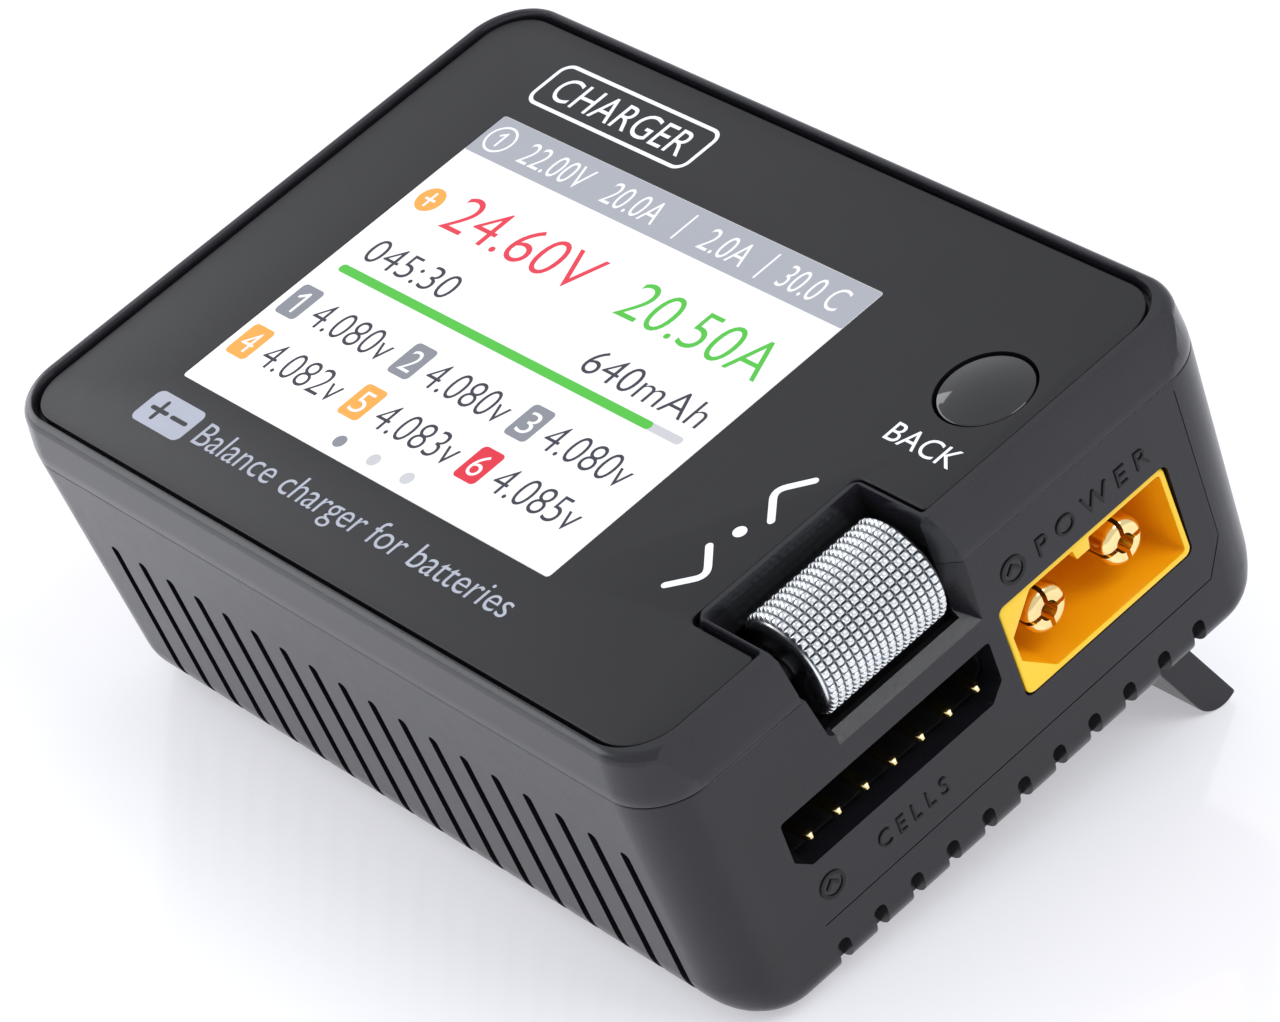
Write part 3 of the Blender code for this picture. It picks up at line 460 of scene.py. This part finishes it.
def bottom_rings(top, inset, floor, radius, n=12, radius_end=None):
    small = radius if radius_end is None else radius_end
    rings = [[(x, y, top) for x, y, _ in section(min(top, Z_PART), inset)], section(floor + radius, inset)]
    for k in range(1, n + 1):
        a = math.radians(90 * k / n)
        z = floor + radius - radius * math.sin(a)
        drop = min(small, max(0.0, floor + small - z))
        rings.append(section(z, inset + radius * (1 - math.cos(a)), inset_end=inset + small - math.sqrt(small ** 2 - drop ** 2)))
    return rings[::-1]


def socket_outline(yc, zc, grow=0.0):
    w, h = SOCKET_W / 2 + grow, SOCKET_H / 2 + grow
    return rounded(yc - w, yc + w, zc - h, zc + h, 0.6, 6)


def balance_outline(grow=0.0, n=4):
    y0, y1, z0, z1 = BALANCE
    g = grow
    return filleted([(y1 + g, z1 + g, 0.3), (y0 - g, z1 + g, 0.3), (y0 - g, z0 + 1.2 - g, 0.2),
                     (y0 + 1.2 - g * 0.5, z0 - g, 0.2), (y1 - 1.2 + g * 0.5, z0 - g, 0.2), (y1 + g, z0 + 1.2 - g, 0.2)], n)


def oval(yc, zc, w, h, n=12):
    return rounded(yc - w / 2, yc + w / 2, zc - h / 2, zc + h / 2, h / 2 - 0.01, n)


hinge_y, hinge_z = HINGE
leg = (math.sin(STAND_OUT), -math.cos(STAND_OUT))
out = (math.cos(STAND_OUT), math.sin(STAND_OUT))
half = STAND_T / 2


def beside(along, across):
    return (hinge_y + leg[0] * along + out[0] * across, hinge_z + leg[1] * along + out[1] * across)


clear = STAND_KNUCKLE + GAP
stop_edge = beside(0.0, clear)
pocket_low = hinge_y - STAND_L - 0.4
far_edge = (stop_edge[0] + leg[0] * 14.0, stop_edge[1] + leg[1] * 14.0)
pocket = [(far_edge[0], far_edge[1])] + arc(
    hinge_y, hinge_z, clear, math.degrees(STAND_OUT), 90, 8) + [(pocket_low, hinge_z + clear), (pocket_low, -40.0), (far_edge[0], -40.0)]
pocket_roof = hinge_z + clear

side_slots = []
for k in range(SIDE_SLOTS):
    x = SIDE_FIRST + k * SIDE_PITCH
    for sign in (-1, 1):
        low, high = sorted((sign * SLOT_REACH, sign * 40.0))
        side_slots.append(prism("y", filleted([(SIDE_TOP, x + SIDE_W / 2, 0.4), (-40.0, x + SIDE_W / 2, 0),
                                               (-40.0, x - SIDE_W / 2, 0), (SIDE_TOP, x - SIDE_W / 2, 0.4)], 4), low, high))
end_slots, end_holes = [], []
for k in range(END_SLOTS):
    y = END_FIRST + k * END_PITCH
    notch = filleted([(y + END_W / 2, -22.5, 0.5), (y - END_W / 2, -22.5, 0.5), (y - END_W / 2, -40.0, 0), (y + END_W / 2, -40.0, 0)], 6)
    end_slots += [prism("x", notch, 38.1, 60.0), prism("x", notch, -60.0, -28.6)]
    hole = rounded(y - 0.5, y + 0.5, -24.3, -22.6, 0.45, 5)
    end_holes += [prism("x", hole, 36.7, 39.0), prism("x", hole, -29.2, -27.4)]
grille = []
for k in range(10):
    y = -15.2 + k * 1.75
    wide = math.sqrt(max(0.0, 10.2 ** 2 - (y + 6.4) ** 2))
    grille.append(prism("z", rounded(FAN_C[0] - wide, FAN_C[0] + wide, y - 0.5, y + 0.5, 0.45, 4), -30.0, -21.0))

TOP_EDGE = Z_PART - 0.05
outer = bottom_rings(TOP_EDGE - 0.12, 0.0, Z_BOT, R_BOTTOM, 12, R_BOTTOM_END)
outer += [section(TOP_EDGE - 0.04, 0.02), section(TOP_EDGE, 0.08)]
lower = rough_object("case_bottom", loft(outer))
carve(lower, "DIFFERENCE", loft(bottom_rings(-2.0, WALL, Z_BOT + WALL, 2.4, 3)))
carve(lower, "UNION", box(STAND_X[0] - 2.0, STAND_X[1] + 2.0, pocket_low - 1.4, 19.2, -24.4, pocket_roof + 1.3))
carve(lower, "UNION", joined([turned("z", b, [(BOSS_R, -24.4), (BOSS_R, -5.9)], 24) for b in BOSSES]))
carve(
    lower, "DIFFERENCE",
    prism("x", pocket, STAND_X[0] - GAP, STAND_X[1] + GAP),
    joined([turned("z", b, [(WELL_R, -40.0), (WELL_R, -14.0)], 32) for b in BOSSES]),
    joined(side_slots),
    joined(end_slots),
    joined(end_holes),
    joined(grille),
    joined([prism("z", rounded(a - 0.3, b + 0.3, FOOT_Y[0] - 0.3, FOOT_Y[1] + 0.3, 1.4, 6), -40.0, Z_BOT + 0.9) for a, b in FEET_X]),
    joined([
        prism("x", socket_outline(SOCKET_Y, SOCKET_Z, 0.14), 35.0, 60.0),
        prism("x", balance_outline(), 38.2, 60.0),
        prism("x", WHEEL_WINDOW, 35.0, 60.0),
        prism("x", socket_outline(INPUT_Y, SOCKET_Z, 0.14), -60.0, -25.0),
        prism("x", oval(10.5, -10.7, 9.3, 3.6), -60.0, -25.0),
    ]),
    turned("x", (pocket_low + 0.3, Z_BOT - 1.0), [(2.4, 0.0), (2.4, 10.0)], 40),
)
carve(lower, "DIFFERENCE", box(35.0, 39.5, wy0 + 0.05, wy1 - 0.05, wz - 0.8, wz + 1.0), wheel_flare(5.0))
soften(lower, 0.09, 2, 32)
groove_line = prism("z", stroke([(20.9, -4.6), (20.9, -17.6), (19.3, -20.3), (-16.5, -20.5)], 0.10), -0.06, 1.0)
carve(lower, "DIFFERENCE", on_wall(groove_line, 0.05))
# inside the wheel's opening the lower shell is painted a duller black as shade in the recess
dress(lower, CASE, "case", ["lower_shell"], 40, weighted=True, inner=(BLACK, in_shaded_well))


# ---------------------------------------------------------------- front panel and its printing
panel_piece = rough_object("face_panel", loft(
    [[(x, y, z) for x, y in panel_outline(g, PANEL_R)] for g, z in ((0.0, -PANEL_T), (0.0, -0.10), (-0.02, -0.04), (-0.06, -0.01), (-0.12, 0.0))]))
carve(panel_piece, "DIFFERENCE", joined([
    prism("z", rounded(-WINDOW[0], WINDOW[0], -WINDOW[1], WINDOW[1], 0.3, 4), -2.0, 2.0),
    turned("z", BUTTON, [(BUTTON_HOLE_R - 0.08, -2.0), (BUTTON_HOLE_R - 0.08, 2.0)], 96),
]))
# the panel's cut edges and underside are painted black as the shade in the gap round it
dress(panel_piece, FILM, "case", ["front_panel"], 40, inner=(BLACK, lambda x, y, z: z < -0.03))


def text_shape(body, x0, x1, y0, y1, thick=0.010, thin=0.0, bevel=0.0, shear=0.0):
    """The letters as one mesh that fills the box, from z 0 up to thick."""
    curve = bpy.data.curves.new("letters", "FONT")
    curve.body = body
    curve.size = 10.0
    curve.resolution_u = 5
    curve.offset = thin
    curve.extrude = 0.5
    curve.shear = shear
    if bevel:
        curve.bevel_depth = bevel
        curve.bevel_resolution = 1
    holder = bpy.data.objects.new("letters", curve)
    bpy.context.scene.collection.objects.link(holder)
    bpy.context.view_layer.update()
    mesh = bpy.data.meshes.new_from_object(holder.evaluated_get(bpy.context.evaluated_depsgraph_get()))
    co = np.empty(len(mesh.vertices) * 3)
    mesh.vertices.foreach_get("co", co)
    co = co.reshape(-1, 3)
    low, high = co.min(0), co.max(0)
    co = (co - low) / (high - low)
    verts = [(x0 + (x1 - x0) * a, y0 + (y1 - y0) * b, thick * c) for a, b, c in co]
    faces = [list(p.vertices) for p in mesh.polygons]
    bpy.data.objects.remove(holder, do_unlink=True)
    bpy.data.curves.remove(curve)
    bpy.data.meshes.remove(mesh)
    return verts, faces


def dot(x, y, r, n=40):
    return [(x + r * math.cos(2 * math.pi * k / n), y + r * math.sin(2 * math.pi * k / n)) for k in range(n)]


def ring_shape(x, y, r, w, z0, z1, n=48):
    """A flat ring."""
    verts, faces = [], []
    for rr, zz in ((r, z0), (r, z1), (r - w, z1), (r - w, z0)):
        verts += [(x + rr * math.cos(2 * math.pi * k / n), y + rr * math.sin(2 * math.pi * k / n), zz) for k in range(n)]
    for j in range(4):
        for k in range(n):
            m = (k + 1) % n
            faces.append([j * n + k, j * n + m, ((j + 1) % 4) * n + m, ((j + 1) % 4) * n + k])
    return verts, faces


def outline_box(x0, x1, y0, y1, r, w, z0, z1, n=10):
    """A flat rounded frame."""
    outer_ring, inner_ring = rounded(x0, x1, y0, y1, r, n), rounded(x0 + w, x1 - w, y0 + w, y1 - w, r - w, n)
    count = len(outer_ring)
    verts, faces = [], []
    for ring, zz in ((outer_ring, z0), (outer_ring, z1), (inner_ring, z1), (inner_ring, z0)):
        verts += [(x, y, zz) for x, y in ring]
    for j in range(4):
        for k in range(count):
            m = (k + 1) % count
            faces.append([j * count + k, j * count + m, ((j + 1) % 4) * count + m, ((j + 1) % 4) * count + k])
    return verts, faces


def lifted(shape, z):
    verts, faces = shape
    return [(x, y, c + z) for x, y, c in verts], faces


def printed(name, look, shapes, body="case"):
    obj = rough_object(name, joined(shapes))
    return dress(obj, look, body, (), 30)


INK_T = 0.012


def bend(a, b, c, r, n=6):
    """Points from a to c by way of b, with b rounded off by the radius."""
    a, b, c = Vector(a), Vector(b), Vector(c)
    one, two = b + (a - b).normalized() * r, b + (c - b).normalized() * r
    return [tuple(a)] + [tuple(one * (1 - t) ** 2 + b * 2 * t * (1 - t) + two * t ** 2) for t in [k / n for k in range(n + 1)]] + [tuple(c)]


def digit_one(x, y, size, w, z0, z1):
    """A figure 1: an upright stroke with a flag."""
    return [flat(stroke([(x + 0.10 * size, y), (x + 0.10 * size, y + size)], w), z0, z1),
            flat(stroke([(x + 0.10 * size, y + size), (x - 0.24 * size, y + 0.74 * size)], w), z0, z1 + 0.0004)]


def flat(outline, z0=0.0, z1=0.006):
    return prism("z", outline, z0, z1)


printed("print_title", INK, [
    outline_box(-20.5, -3.0, 17.1, 21.6, 1.1, 0.32, 0.0, INK_T),
    text_shape("CHARGER", -19.0, -4.5, 18.1, 20.55, INK_T, -0.02),
])
printed("print_chevrons", INK, [
    prism("z", stroke(bend((29.9, 0.1), (28.05, -1.9), (30.1, -4.0), 0.9), 0.55), 0.0, INK_T),
    prism("z", dot(28.95, -5.75, 0.5), 0.0, INK_T),
    prism("z", stroke(bend((28.1, -7.7), (30.15, -9.7), (28.2, -11.7), 0.9), 0.55), 0.0, INK_T),
])
printed("print_button_label", INK, [text_shape("BACK", 30.9, 37.2, 5.2, 6.9, INK_T, 0.0)])
printed("print_caption", INK_GREY, [
    text_shape("Balance charger for batteries", -14.0, 20.5, -20.2, -17.4, INK_T, -0.05),
    prism("z", rounded(-20.5, -15.0, -20.1, -17.0, 0.6, 6), 0.0, 0.006),
])
printed("print_badge_marks", INK_DARK, [
    prism("z", stroke([(-19.6, -18.55), (-18.0, -18.55)], 0.36), 0.006, INK_T + 0.004),
    prism("z", stroke([(-18.8, -19.35), (-18.8, -17.75)], 0.36), 0.0065, INK_T + 0.0045),
    prism("z", stroke([(-17.3, -18.55), (-15.8, -18.55)], 0.36), 0.006, INK_T + 0.004),
])

# ---------------------------------------------------------------- screen
glass = rough_object("screen_glass", loft(
    [[(x, y, z) for x, y in rounded(-WINDOW[0] + g, WINDOW[0] - g, -WINDOW[1] + g, WINDOW[1] - g, 0.28, 5)]
     for g, z in ((0.03, -0.5), (0.03, -0.06), (0.06, -0.03))]))
dress(glass, SCREEN, "case", ["display_window"], 40)
GZ = -0.030


def on_screen(name, look, shapes):
    return printed(name, look, [lifted(s, GZ) for s in shapes])


on_screen("screen_bar", S_BAR, [flat(rounded(-20.33, 20.33, 11.3, 15.22, 0.15, 3))])
on_screen("screen_bar_text", S_WHITE, [
    text_shape("22.00V", -15.6, -8.6, 12.15, 14.3, 0.010, -0.06),
    text_shape("20.0A", -6.3, -0.6, 12.15, 14.3, 0.010, -0.06),
    text_shape("2.0A", 4.2, 8.8, 12.15, 14.3, 0.010, -0.06),
    text_shape("30.0 C", 12.4, 18.5, 12.15, 14.3, 0.010, -0.06),
    flat(stroke([(1.9, 12.0), (1.9, 14.5)], 0.18), 0.0, 0.010),
    flat(stroke([(10.6, 12.0), (10.6, 14.5)], 0.18), 0.0, 0.010),
    ring_shape(-18.5, 13.25, 1.35, 0.2, 0.0, 0.010),
] + digit_one(-18.52, 12.6, 1.3, 0.2, 0.0, 0.010) + [
])
on_screen("screen_volts", S_RED, [text_shape("24.60V", -15.4, -0.1, 4.6, 8.1, 0.006, -0.09)])
on_screen("screen_amps", S_GREEN, [
    text_shape("20.50A", 4.0, 18.7, 4.6, 8.1, 0.006, -0.09),
    flat(rounded(-18.7, 15.6, -2.25, -1.5, 0.36, 6), 0.002, 0.009),
])
on_screen("screen_bar_rest", S_PALE, [flat(rounded(-18.65, 18.7, -2.23, -1.52, 0.34, 6))])
on_screen("screen_orange_marks", S_ORANGE, [
    flat(dot(-18.2, 6.25, 1.2)),
    flat(rounded(-19.65, -17.35, -12.05, -8.9, 0.4, 5)),
    flat(rounded(-6.65, -4.35, -12.05, -8.9, 0.4, 5)),
])
on_screen("screen_grey_badges", S_GREY, [flat(rounded(x - 1.15, x + 1.15, -7.45, -4.3, 0.4, 5)) for x in (-18.5, -5.5, 7.4)]
          + [flat(dot(-3.8, -13.9, 0.55))])
on_screen("screen_red_badge", S_ALARM, [flat(rounded(6.25, 8.55, -12.05, -8.9, 0.4, 5))])
on_screen("screen_pale_dots", S_PALE, [flat(dot(0.0, -13.9, 0.55)), flat(dot(3.7, -13.9, 0.55))])
on_screen("screen_badge_digits", S_WHITE, [
    text_shape(str(k + 2), x - 0.62, x + 0.62, y + 0.55, y + 2.55, 0.010, -0.06)
    for k, (x, y) in enumerate([(-5.5, -7.45), (7.4, -7.45), (-18.5, -12.05), (-5.5, -12.05), (7.4, -12.05)])
] + digit_one(-18.5, -6.85, 1.85, 0.26, 0.004, 0.010) + [flat(stroke([(-18.65, 6.25), (-17.75, 6.25)], 0.22), 0.004, 0.010), flat(stroke([(-18.2, 5.6), (-18.2, 6.9)], 0.22), 0.004, 0.0105)])
dark_text = [
    text_shape("045:30", -18.1, -8.6, -0.55, 1.75, 0.006, -0.09),
    text_shape("640mAh", 6.2, 18.5, -0.55, 1.75, 0.006, -0.09),
]
for k, (x, y, body) in enumerate([
    (-16.4, -7.2, "4.080v"), (-3.4, -7.2, "4.080v"), (9.5, -7.2, "4.080v"),
    (-16.4, -11.8, "4.082v"), (-3.4, -11.8, "4.083v"), (9.5, -11.8, "4.085v")]):
    dark_text.append(text_shape(body, x, x + 8.6, y, y + 2.45, 0.006, -0.10))
on_screen("screen_dark_text", S_DARK, dark_text)


# ---------------------------------------------------------------- button
bx, by = BUTTON
profile = [(4.25, -3.35), (4.25, -2.75), (BUTTON_R, -2.7), (BUTTON_R, -0.22)]
for k in range(1, 7):
    a = math.radians(90 * k / 7)
    profile.append((BUTTON_R - 0.22 + 0.22 * math.cos(a), -0.22 + 0.16 * math.sin(a)))
dome = BUTTON_R - 0.22
for k in range(1, 20):
    r = dome * (1 - k / 20) ** 0.85
    profile.append((r, -0.06 + 0.40 * (1 - (r / dome) ** 2)))
button = rough_object("back_button", turned("z", BUTTON, profile, 128))
dress(button, GLOSS, "exit_button", ["exit_button"], 50)


# ---------------------------------------------------------------- knurled wheel
def knurled():
    cols, rows, per = 16, 40, 10
    y_in, y_out = WHEEL_Y
    depth = 0.30
    ends = [(1.15, 0.60), (1.15, 0.06), (1.25, 0.02), (1.7, 0.0), (2.1, 0.02), (2.5, 0.06), (2.9, 0.12), (3.2, 0.19), (3.45, 0.28), (3.60, 0.36), (3.66, 0.44)]
    first = y_in + 0.46
    last = y_out - 0.46
    ring_t, ring_r, ring_k = [], [], []
    for r, t in ends:
        ring_t.append(y_in + t), ring_r.append(r), ring_k.append(None)
    for j in range(cols * per + 1):
        ring_t.append(first + (last - first) * j / (cols * per)), ring_r.append(WHEEL_R), ring_k.append(j / per)
    for r, t in ends[::-1]:
        ring_t.append(y_out - t), ring_r.append(r), ring_k.append(None)
    around = rows * per
    verts = []
    for t, r, u in zip(ring_t, ring_r, ring_k):
        for i in range(around):
            v = (i / per) % 1.0
            rr = r
            if u is not None:
                fu = max(0.0, 1 - abs(2.3 * (u % 1.0) - 1.15) ** 2.6)
                fv = max(0.0, 1 - abs(2.14 * v - 1.07) ** 3.0)
                rr = r - depth * (1 - (fu * fv) ** 0.6)
            a = 2 * math.pi * i / around
            verts.append(put("y", WHEEL_C[1] + rr * math.cos(a), WHEEL_C[0] + rr * math.sin(a), t))
    count = len(ring_t)
    faces = []
    for j in range(count - 1):
        for i in range(around):
            m = (i + 1) % around
            faces.append([j * around + i, j * around + m, (j + 1) * around + m, (j + 1) * around + i])
    for i in range(around):  # the bore for the axle
        m = (i + 1) % around
        faces.append([(count - 1) * around + i, (count - 1) * around + m, m, i])
    return verts, faces


wheel = rough_object("knurled_wheel", knurled())
dress(wheel, WHEEL_METAL, "scroll_wheel", ["scroll_wheel"], 60, inner=(
    WHEEL_GROOVE, lambda x, y, z: math.hypot(x - WHEEL_C[0], z - WHEEL_C[1]) < WHEEL_R - 0.215 and WHEEL_Y[0] + 0.45 < y < WHEEL_Y[1] - 0.45))

# ---------------------------------------------------------------- power sockets
def socket_cavity(yc, zc, flip=1, n=4):
    """The inside of the power socket: cut off at both corners of one end, with a small key hanging from its top."""
    w, h, c = SOCKET_W / 2 - 0.47, SOCKET_H / 2 - 0.49, SOCKET_CUT
    pts = [(w, h, 0.3), (0.6, h, 0.0), (0.45, h - 0.85, 0.1), (-0.75, h - 0.85, 0.1), (-0.9, h, 0.0),
           (-w + c, h, 0.2), (-w, h - c, 0.2), (-w, -h + c, 0.2), (-w + c, -h, 0.2), (w, -h, 0.3)]
    if flip < 0:
        pts = [(-y, z, r) for y, z, r in pts][::-1]
    return [(yc + y, zc + z) for y, z in filleted(pts, n)]


def power_socket(name, node, yc, x_in, x_out, flip):
    d = 1 if x_out > x_in else -1
    body = loft([[put("x", u, v, t) for u, v in socket_outline(yc, SOCKET_Z, g)]
                 for g, t in sorted(((0.0, x_in), (0.0, x_out - d * 0.12), (-0.04, x_out - d * 0.03), (-0.12, x_out)), key=lambda p: p[1])])
    obj = rough_object(name, body)
    a, b = sorted((x_in + d * 1.6, x_out + d * 20))
    carve(obj, "DIFFERENCE", prism("x", socket_cavity(yc, SOCKET_Z, flip), a, b))
    soften(obj, 0.07, 2, 40)
    # faces deeper than 0.35 mm inside the socket mouth wear the painted shade
    dress(obj, YELLOW, "case", [node], 35, inner=(YELLOW_PAINTED_SHADE, lambda x, y, z: (x - x_out) * d < -0.35))


power_socket("output_housing", "output_socket", SOCKET_Y, SOCKET_X[0], SOCKET_X[1], 1)
power_socket("input_housing", "input_socket", INPUT_Y, INPUT_X[1], INPUT_X[0], -1)


def contact(name, node, x_back, x_tip, yc, zc):
    d = 1 if x_tip > x_back else -1
    prof = [(PIN_R, x_back), (PIN_R, x_tip - d * 0.62)]
    for k in range(1, 9):
        a = math.radians(90 * k / 8)
        prof.append((PIN_R - 0.62 + 0.62 * math.cos(a), x_tip - d * 0.62 + d * 0.62 * math.sin(a)))
    obj = rough_object(name, turned("x", (yc, zc), prof if d > 0 else prof[::-1], 72))
    a, b = sorted((x_tip - d * 4.5, x_tip + d * 2.0))
    carve(obj, "DIFFERENCE", turned("x", (yc, zc), [(0.72, a), (0.72, b)], 32))
    a, b = sorted((x_tip - d * 4.0, x_tip + d * 2.0))
    carve(obj, "DIFFERENCE", box(a, b, yc - 3.0, yc + 3.0, zc - 0.17, zc + 0.17))
    carve(obj, "DIFFERENCE", box(a, b, yc - 0.17, yc + 0.17, zc - 3.0, zc + 3.0))
    soften(obj, 0.10, 3, 40)
    dress(obj, GOLD, "case", [node], 40)


for side, tag in ((-1, "negative"), (1, "positive")):
    contact(f"output_contact_{tag}", f"output_pin_{tag}", SOCKET_X[0] + 1.9, PIN_TIP, SOCKET_Y + side * PIN_PITCH / 2, SOCKET_Z)
    contact(f"input_contact_{tag}", f"input_pin_{tag}", INPUT_X[1] - 1.9, INPUT_TIP, INPUT_Y + side * PIN_PITCH / 2, SOCKET_Z)

# ---------------------------------------------------------------- balance port
by0, by1, bz0, bz1 = BALANCE
header = rough_object("balance_housing", box(30.2, 37.9, by0 - 0.6, by1 + 0.6, bz0 - 0.8, bz1 + 0.8))
carve(header, "DIFFERENCE", prism("x", balance_outline(0.02), 31.4, 60.0))
soften(header, 0.12, 2, 35)
dress(header, BLACK, "case", ["balance_header"], 35)
for k in range(7):
    y = BALANCE_PIN[0] + k * BALANCE_PIN[1]
    z = BALANCE_PIN[2]
    rings = []
    for x, h in ((31.7, 0.32), (38.95, 0.32), (39.15, 0.30), (39.36, 0.22), (39.5, 0.12)):
        rings.append([(x, u, v) for u, v in rounded(y - h, y + h, z - h, z + h, 0.06 if h > 0.1 else 0.03, 2)])
    pin = rough_object(f"balance_contact_{k + 1}", loft(rings))
    dress(pin, GOLD, "case", [f"balance_pin_{k + 1}"], 40)

# ---------------------------------------------------------------- USB port
usb = rough_object("usb_shell", loft([[put("x", u, v, t) for u, v in oval(10.5, -10.7, 8.9 - g, 3.2 - g)] for g, t in ((0.16, -30.5), (0.0, -30.42), (0.0, -23.2))]))
carve(usb, "DIFFERENCE", prism("x", oval(10.5, -10.7, 8.3, 2.6), -60.0, -24.2))
dress(usb, STEEL, "case", ["usb_port_shell"], 40)

# ---------------------------------------------------------------- marks moulded on the output end
def wall_text(name, body, y0, y1, z0, z1, thin=0.0):
    return on_wall(text_shape(body, y0, y1, z0, z1, 0.10, thin, bevel=0.12))


wall_marks = [
    wall_text("mark", "P O W E R", 7.4, 17.6, -8.0, -6.45, -0.12),
    wall_text("mark", "C E L L S", -10.8, -4.6, -18.75, -17.35, -0.12),
]
for yc, zc, r in ((5.2, -7.2, 1.05), (-15.0, -18.0, 1.05)):
    wall_marks.append(on_wall(ring_shape(yc, zc, r, 0.26, -0.02, 0.09)))
    wall_marks.append(on_wall(prism("z", stroke([(yc - 0.45, zc - 0.1), (yc, zc + 0.35), (yc + 0.45, zc - 0.1)], 0.22), -0.02, 0.09)))
marks = rough_object("moulded_marks", joined(wall_marks))
# the raised marks wear the painted shade
dress(marks, LETTERING_SHADE, "case", (), 35)

# ---------------------------------------------------------------- kickstand
toe_c = (STAND_L - STAND_TOE_R, -half + STAND_TOE_R)
knuckle = [beside(STAND_KNUCKLE * math.cos(t), STAND_KNUCKLE * math.sin(t)) for t in [math.radians(60 + 240 * k / 30) for k in range(31)]]
toe = [beside(toe_c[0] + STAND_TOE_R * math.sin(t), toe_c[1] - STAND_TOE_R * math.cos(t)) for t in [math.radians(90 * k / 16) for k in range(17)]]
tip = [beside(STAND_L, half - 0.15), beside(STAND_L - 0.04, half - 0.06), beside(STAND_L - 0.15, half)]
outline = tip + [beside(0.75, half)] + knuckle + [beside(0.75, -half)] + toe
stand = rough_object("stand_leg", prism("x", outline, *STAND_X))
groove = [beside(STAND_L - 1.0, 3.0), beside(STAND_L - 2.2, 3.0), beside(STAND_L - 2.2, half - 0.8), beside(STAND_L - 1.0, half - 0.8)]
carve(stand, "DIFFERENCE", joined([turned("x", HINGE, [(0.85, -40.0), (0.85, -22.0)], 24), turned("x", HINGE, [(0.85, 32.1), (0.85, 50.0)], 24)]),
      prism("x", groove, STAND_X[0] + 1.5, STAND_X[1] - 1.5))
soften(stand, 0.12, 2, 40)
dress(stand, CASE, "kickstand", ["kickstand"], 35, weighted=True)

# ---------------------------------------------------------------- feet
for (a, b), node in zip(FEET_X, ("front_foot_left", "front_foot_right")):
    foot = rough_object(node.replace("front_foot", "near_foot"), loft(
        [[(x, y, z) for x, y in rounded(a + g, b - g, FOOT_Y[0] + g, FOOT_Y[1] - g, 1.2, 8)]
         for g, z in ((0.0, Z_BOT - FOOT_PROUD), (0.0, Z_BOT + 0.6))]))
    soften(foot, 0.1, 2, 40)
    dress(foot, RUBBER, "case", [node], 40)

# ---------------------------------------------------------------- CAD pieces that stay: their looks
LOOKS = {
    # display_board wears the board painted black as shade
    "display_module": STEEL, "display_bracket": BLACK, "display_board": BOARD_PAINTED_SHADE, "main_board": BOARD,
    "exit_switch_body": STEEL, "exit_switch_plunger": BLACK, "wheel_switch_body": STEEL, "wheel_switch_plunger": BLACK,
    "wheel_shaft": BLACK, "wheel_cradle": BLACK, "wheel_encoder": BLACK, "usb_port_tongue": BLACK,
    "fan_housing": BLACK, "fan_rotor": BLACK, "fan_shaft": STEEL, "heatsink": ALU, "capacitor_1": CAN, "capacitor_2": CAN,
    "inductor_1": FERRITE, "inductor_2": FERRITE, "buzzer": BLACK, "kickstand_grip_strip": RUBBER,
    "hinge_pin_left": STEEL, "hinge_pin_right": STEEL,
    "case_screw_1": STEEL, "case_screw_2": STEEL, "case_screw_3": STEEL, "case_screw_4": STEEL,
}
for node, look in LOOKS.items():
    NODES[node].data.materials.clear()
    NODES[node].data.materials.append(look)

# ---------------------------------------------------------------- floor, light, camera
floor_look = material("studio_floor", (0.68, 0.68, 0.70), 0.12, vary=0.004, vary_scale=3.0, rough_vary=0.02, rough_scale=6.0, specular=0.6, emission=(0.955, 0.955, 1.0), emission_strength=0.42)
floor = rough_object("studio_floor", prism("z", dot(0, 0, 3000.0, 96), -20.0, -0.02))
floor.data.transform(Matrix.Scale(MM, 4))
floor.data.materials.append(floor_look)


def softbox(name, where, target, size, power, colour=(1, 1, 1)):
    lamp = bpy.data.lights.new(name, "AREA")
    lamp.shape = "RECTANGLE"
    lamp.size, lamp.size_y = size
    lamp.energy = power
    lamp.color = colour
    obj = bpy.data.objects.new(name, lamp)
    obj.location = where
    obj.rotation_euler = (Vector(target) - Vector(where)).to_track_quat("-Z", "Y").to_euler()
    bpy.context.scene.collection.objects.link(obj)
    return obj


softbox("low_left", (-0.79, -0.33, 0.335), (0, 0, 0.02), (1.05, 0.60), 4.6, (0.955, 0.965, 1.0))
softbox("high_right", (0.53, 0.17, 0.71), (0, 0, 0.02), (0.45, 0.45), 2.4, (0.96, 0.97, 1.0))
world = bpy.data.worlds.new("studio")
bpy.context.scene.world = world
world.use_nodes = True
world.node_tree.nodes["Background"].inputs["Color"].default_value = (0.94, 0.955, 1.0, 1)
world.node_tree.nodes["Background"].inputs["Strength"].default_value = 0.82

lens = bpy.data.cameras.new("camera")
lens.sensor_width = 36.0
lens.sensor_fit = "HORIZONTAL"
lens.lens = 164.72
lens.clip_start = 0.01
lens.clip_end = 20.0
camera = bpy.data.objects.new("camera", lens)
bpy.context.scene.collection.objects.link(camera)
look = Matrix(((0.62525, -0.33328, 0.70568), (0.71567, 0.60548, -0.34815), (-0.31124, 0.72272, 0.61709))).to_4x4()
spot = TO_WORLD @ Vector((285.54, -138.22, 231.12))
camera.matrix_world = Matrix.Translation(spot) @ (_turn @ look)
bpy.context.scene.camera = camera
bpy.context.scene.view_settings.view_transform = "Standard"
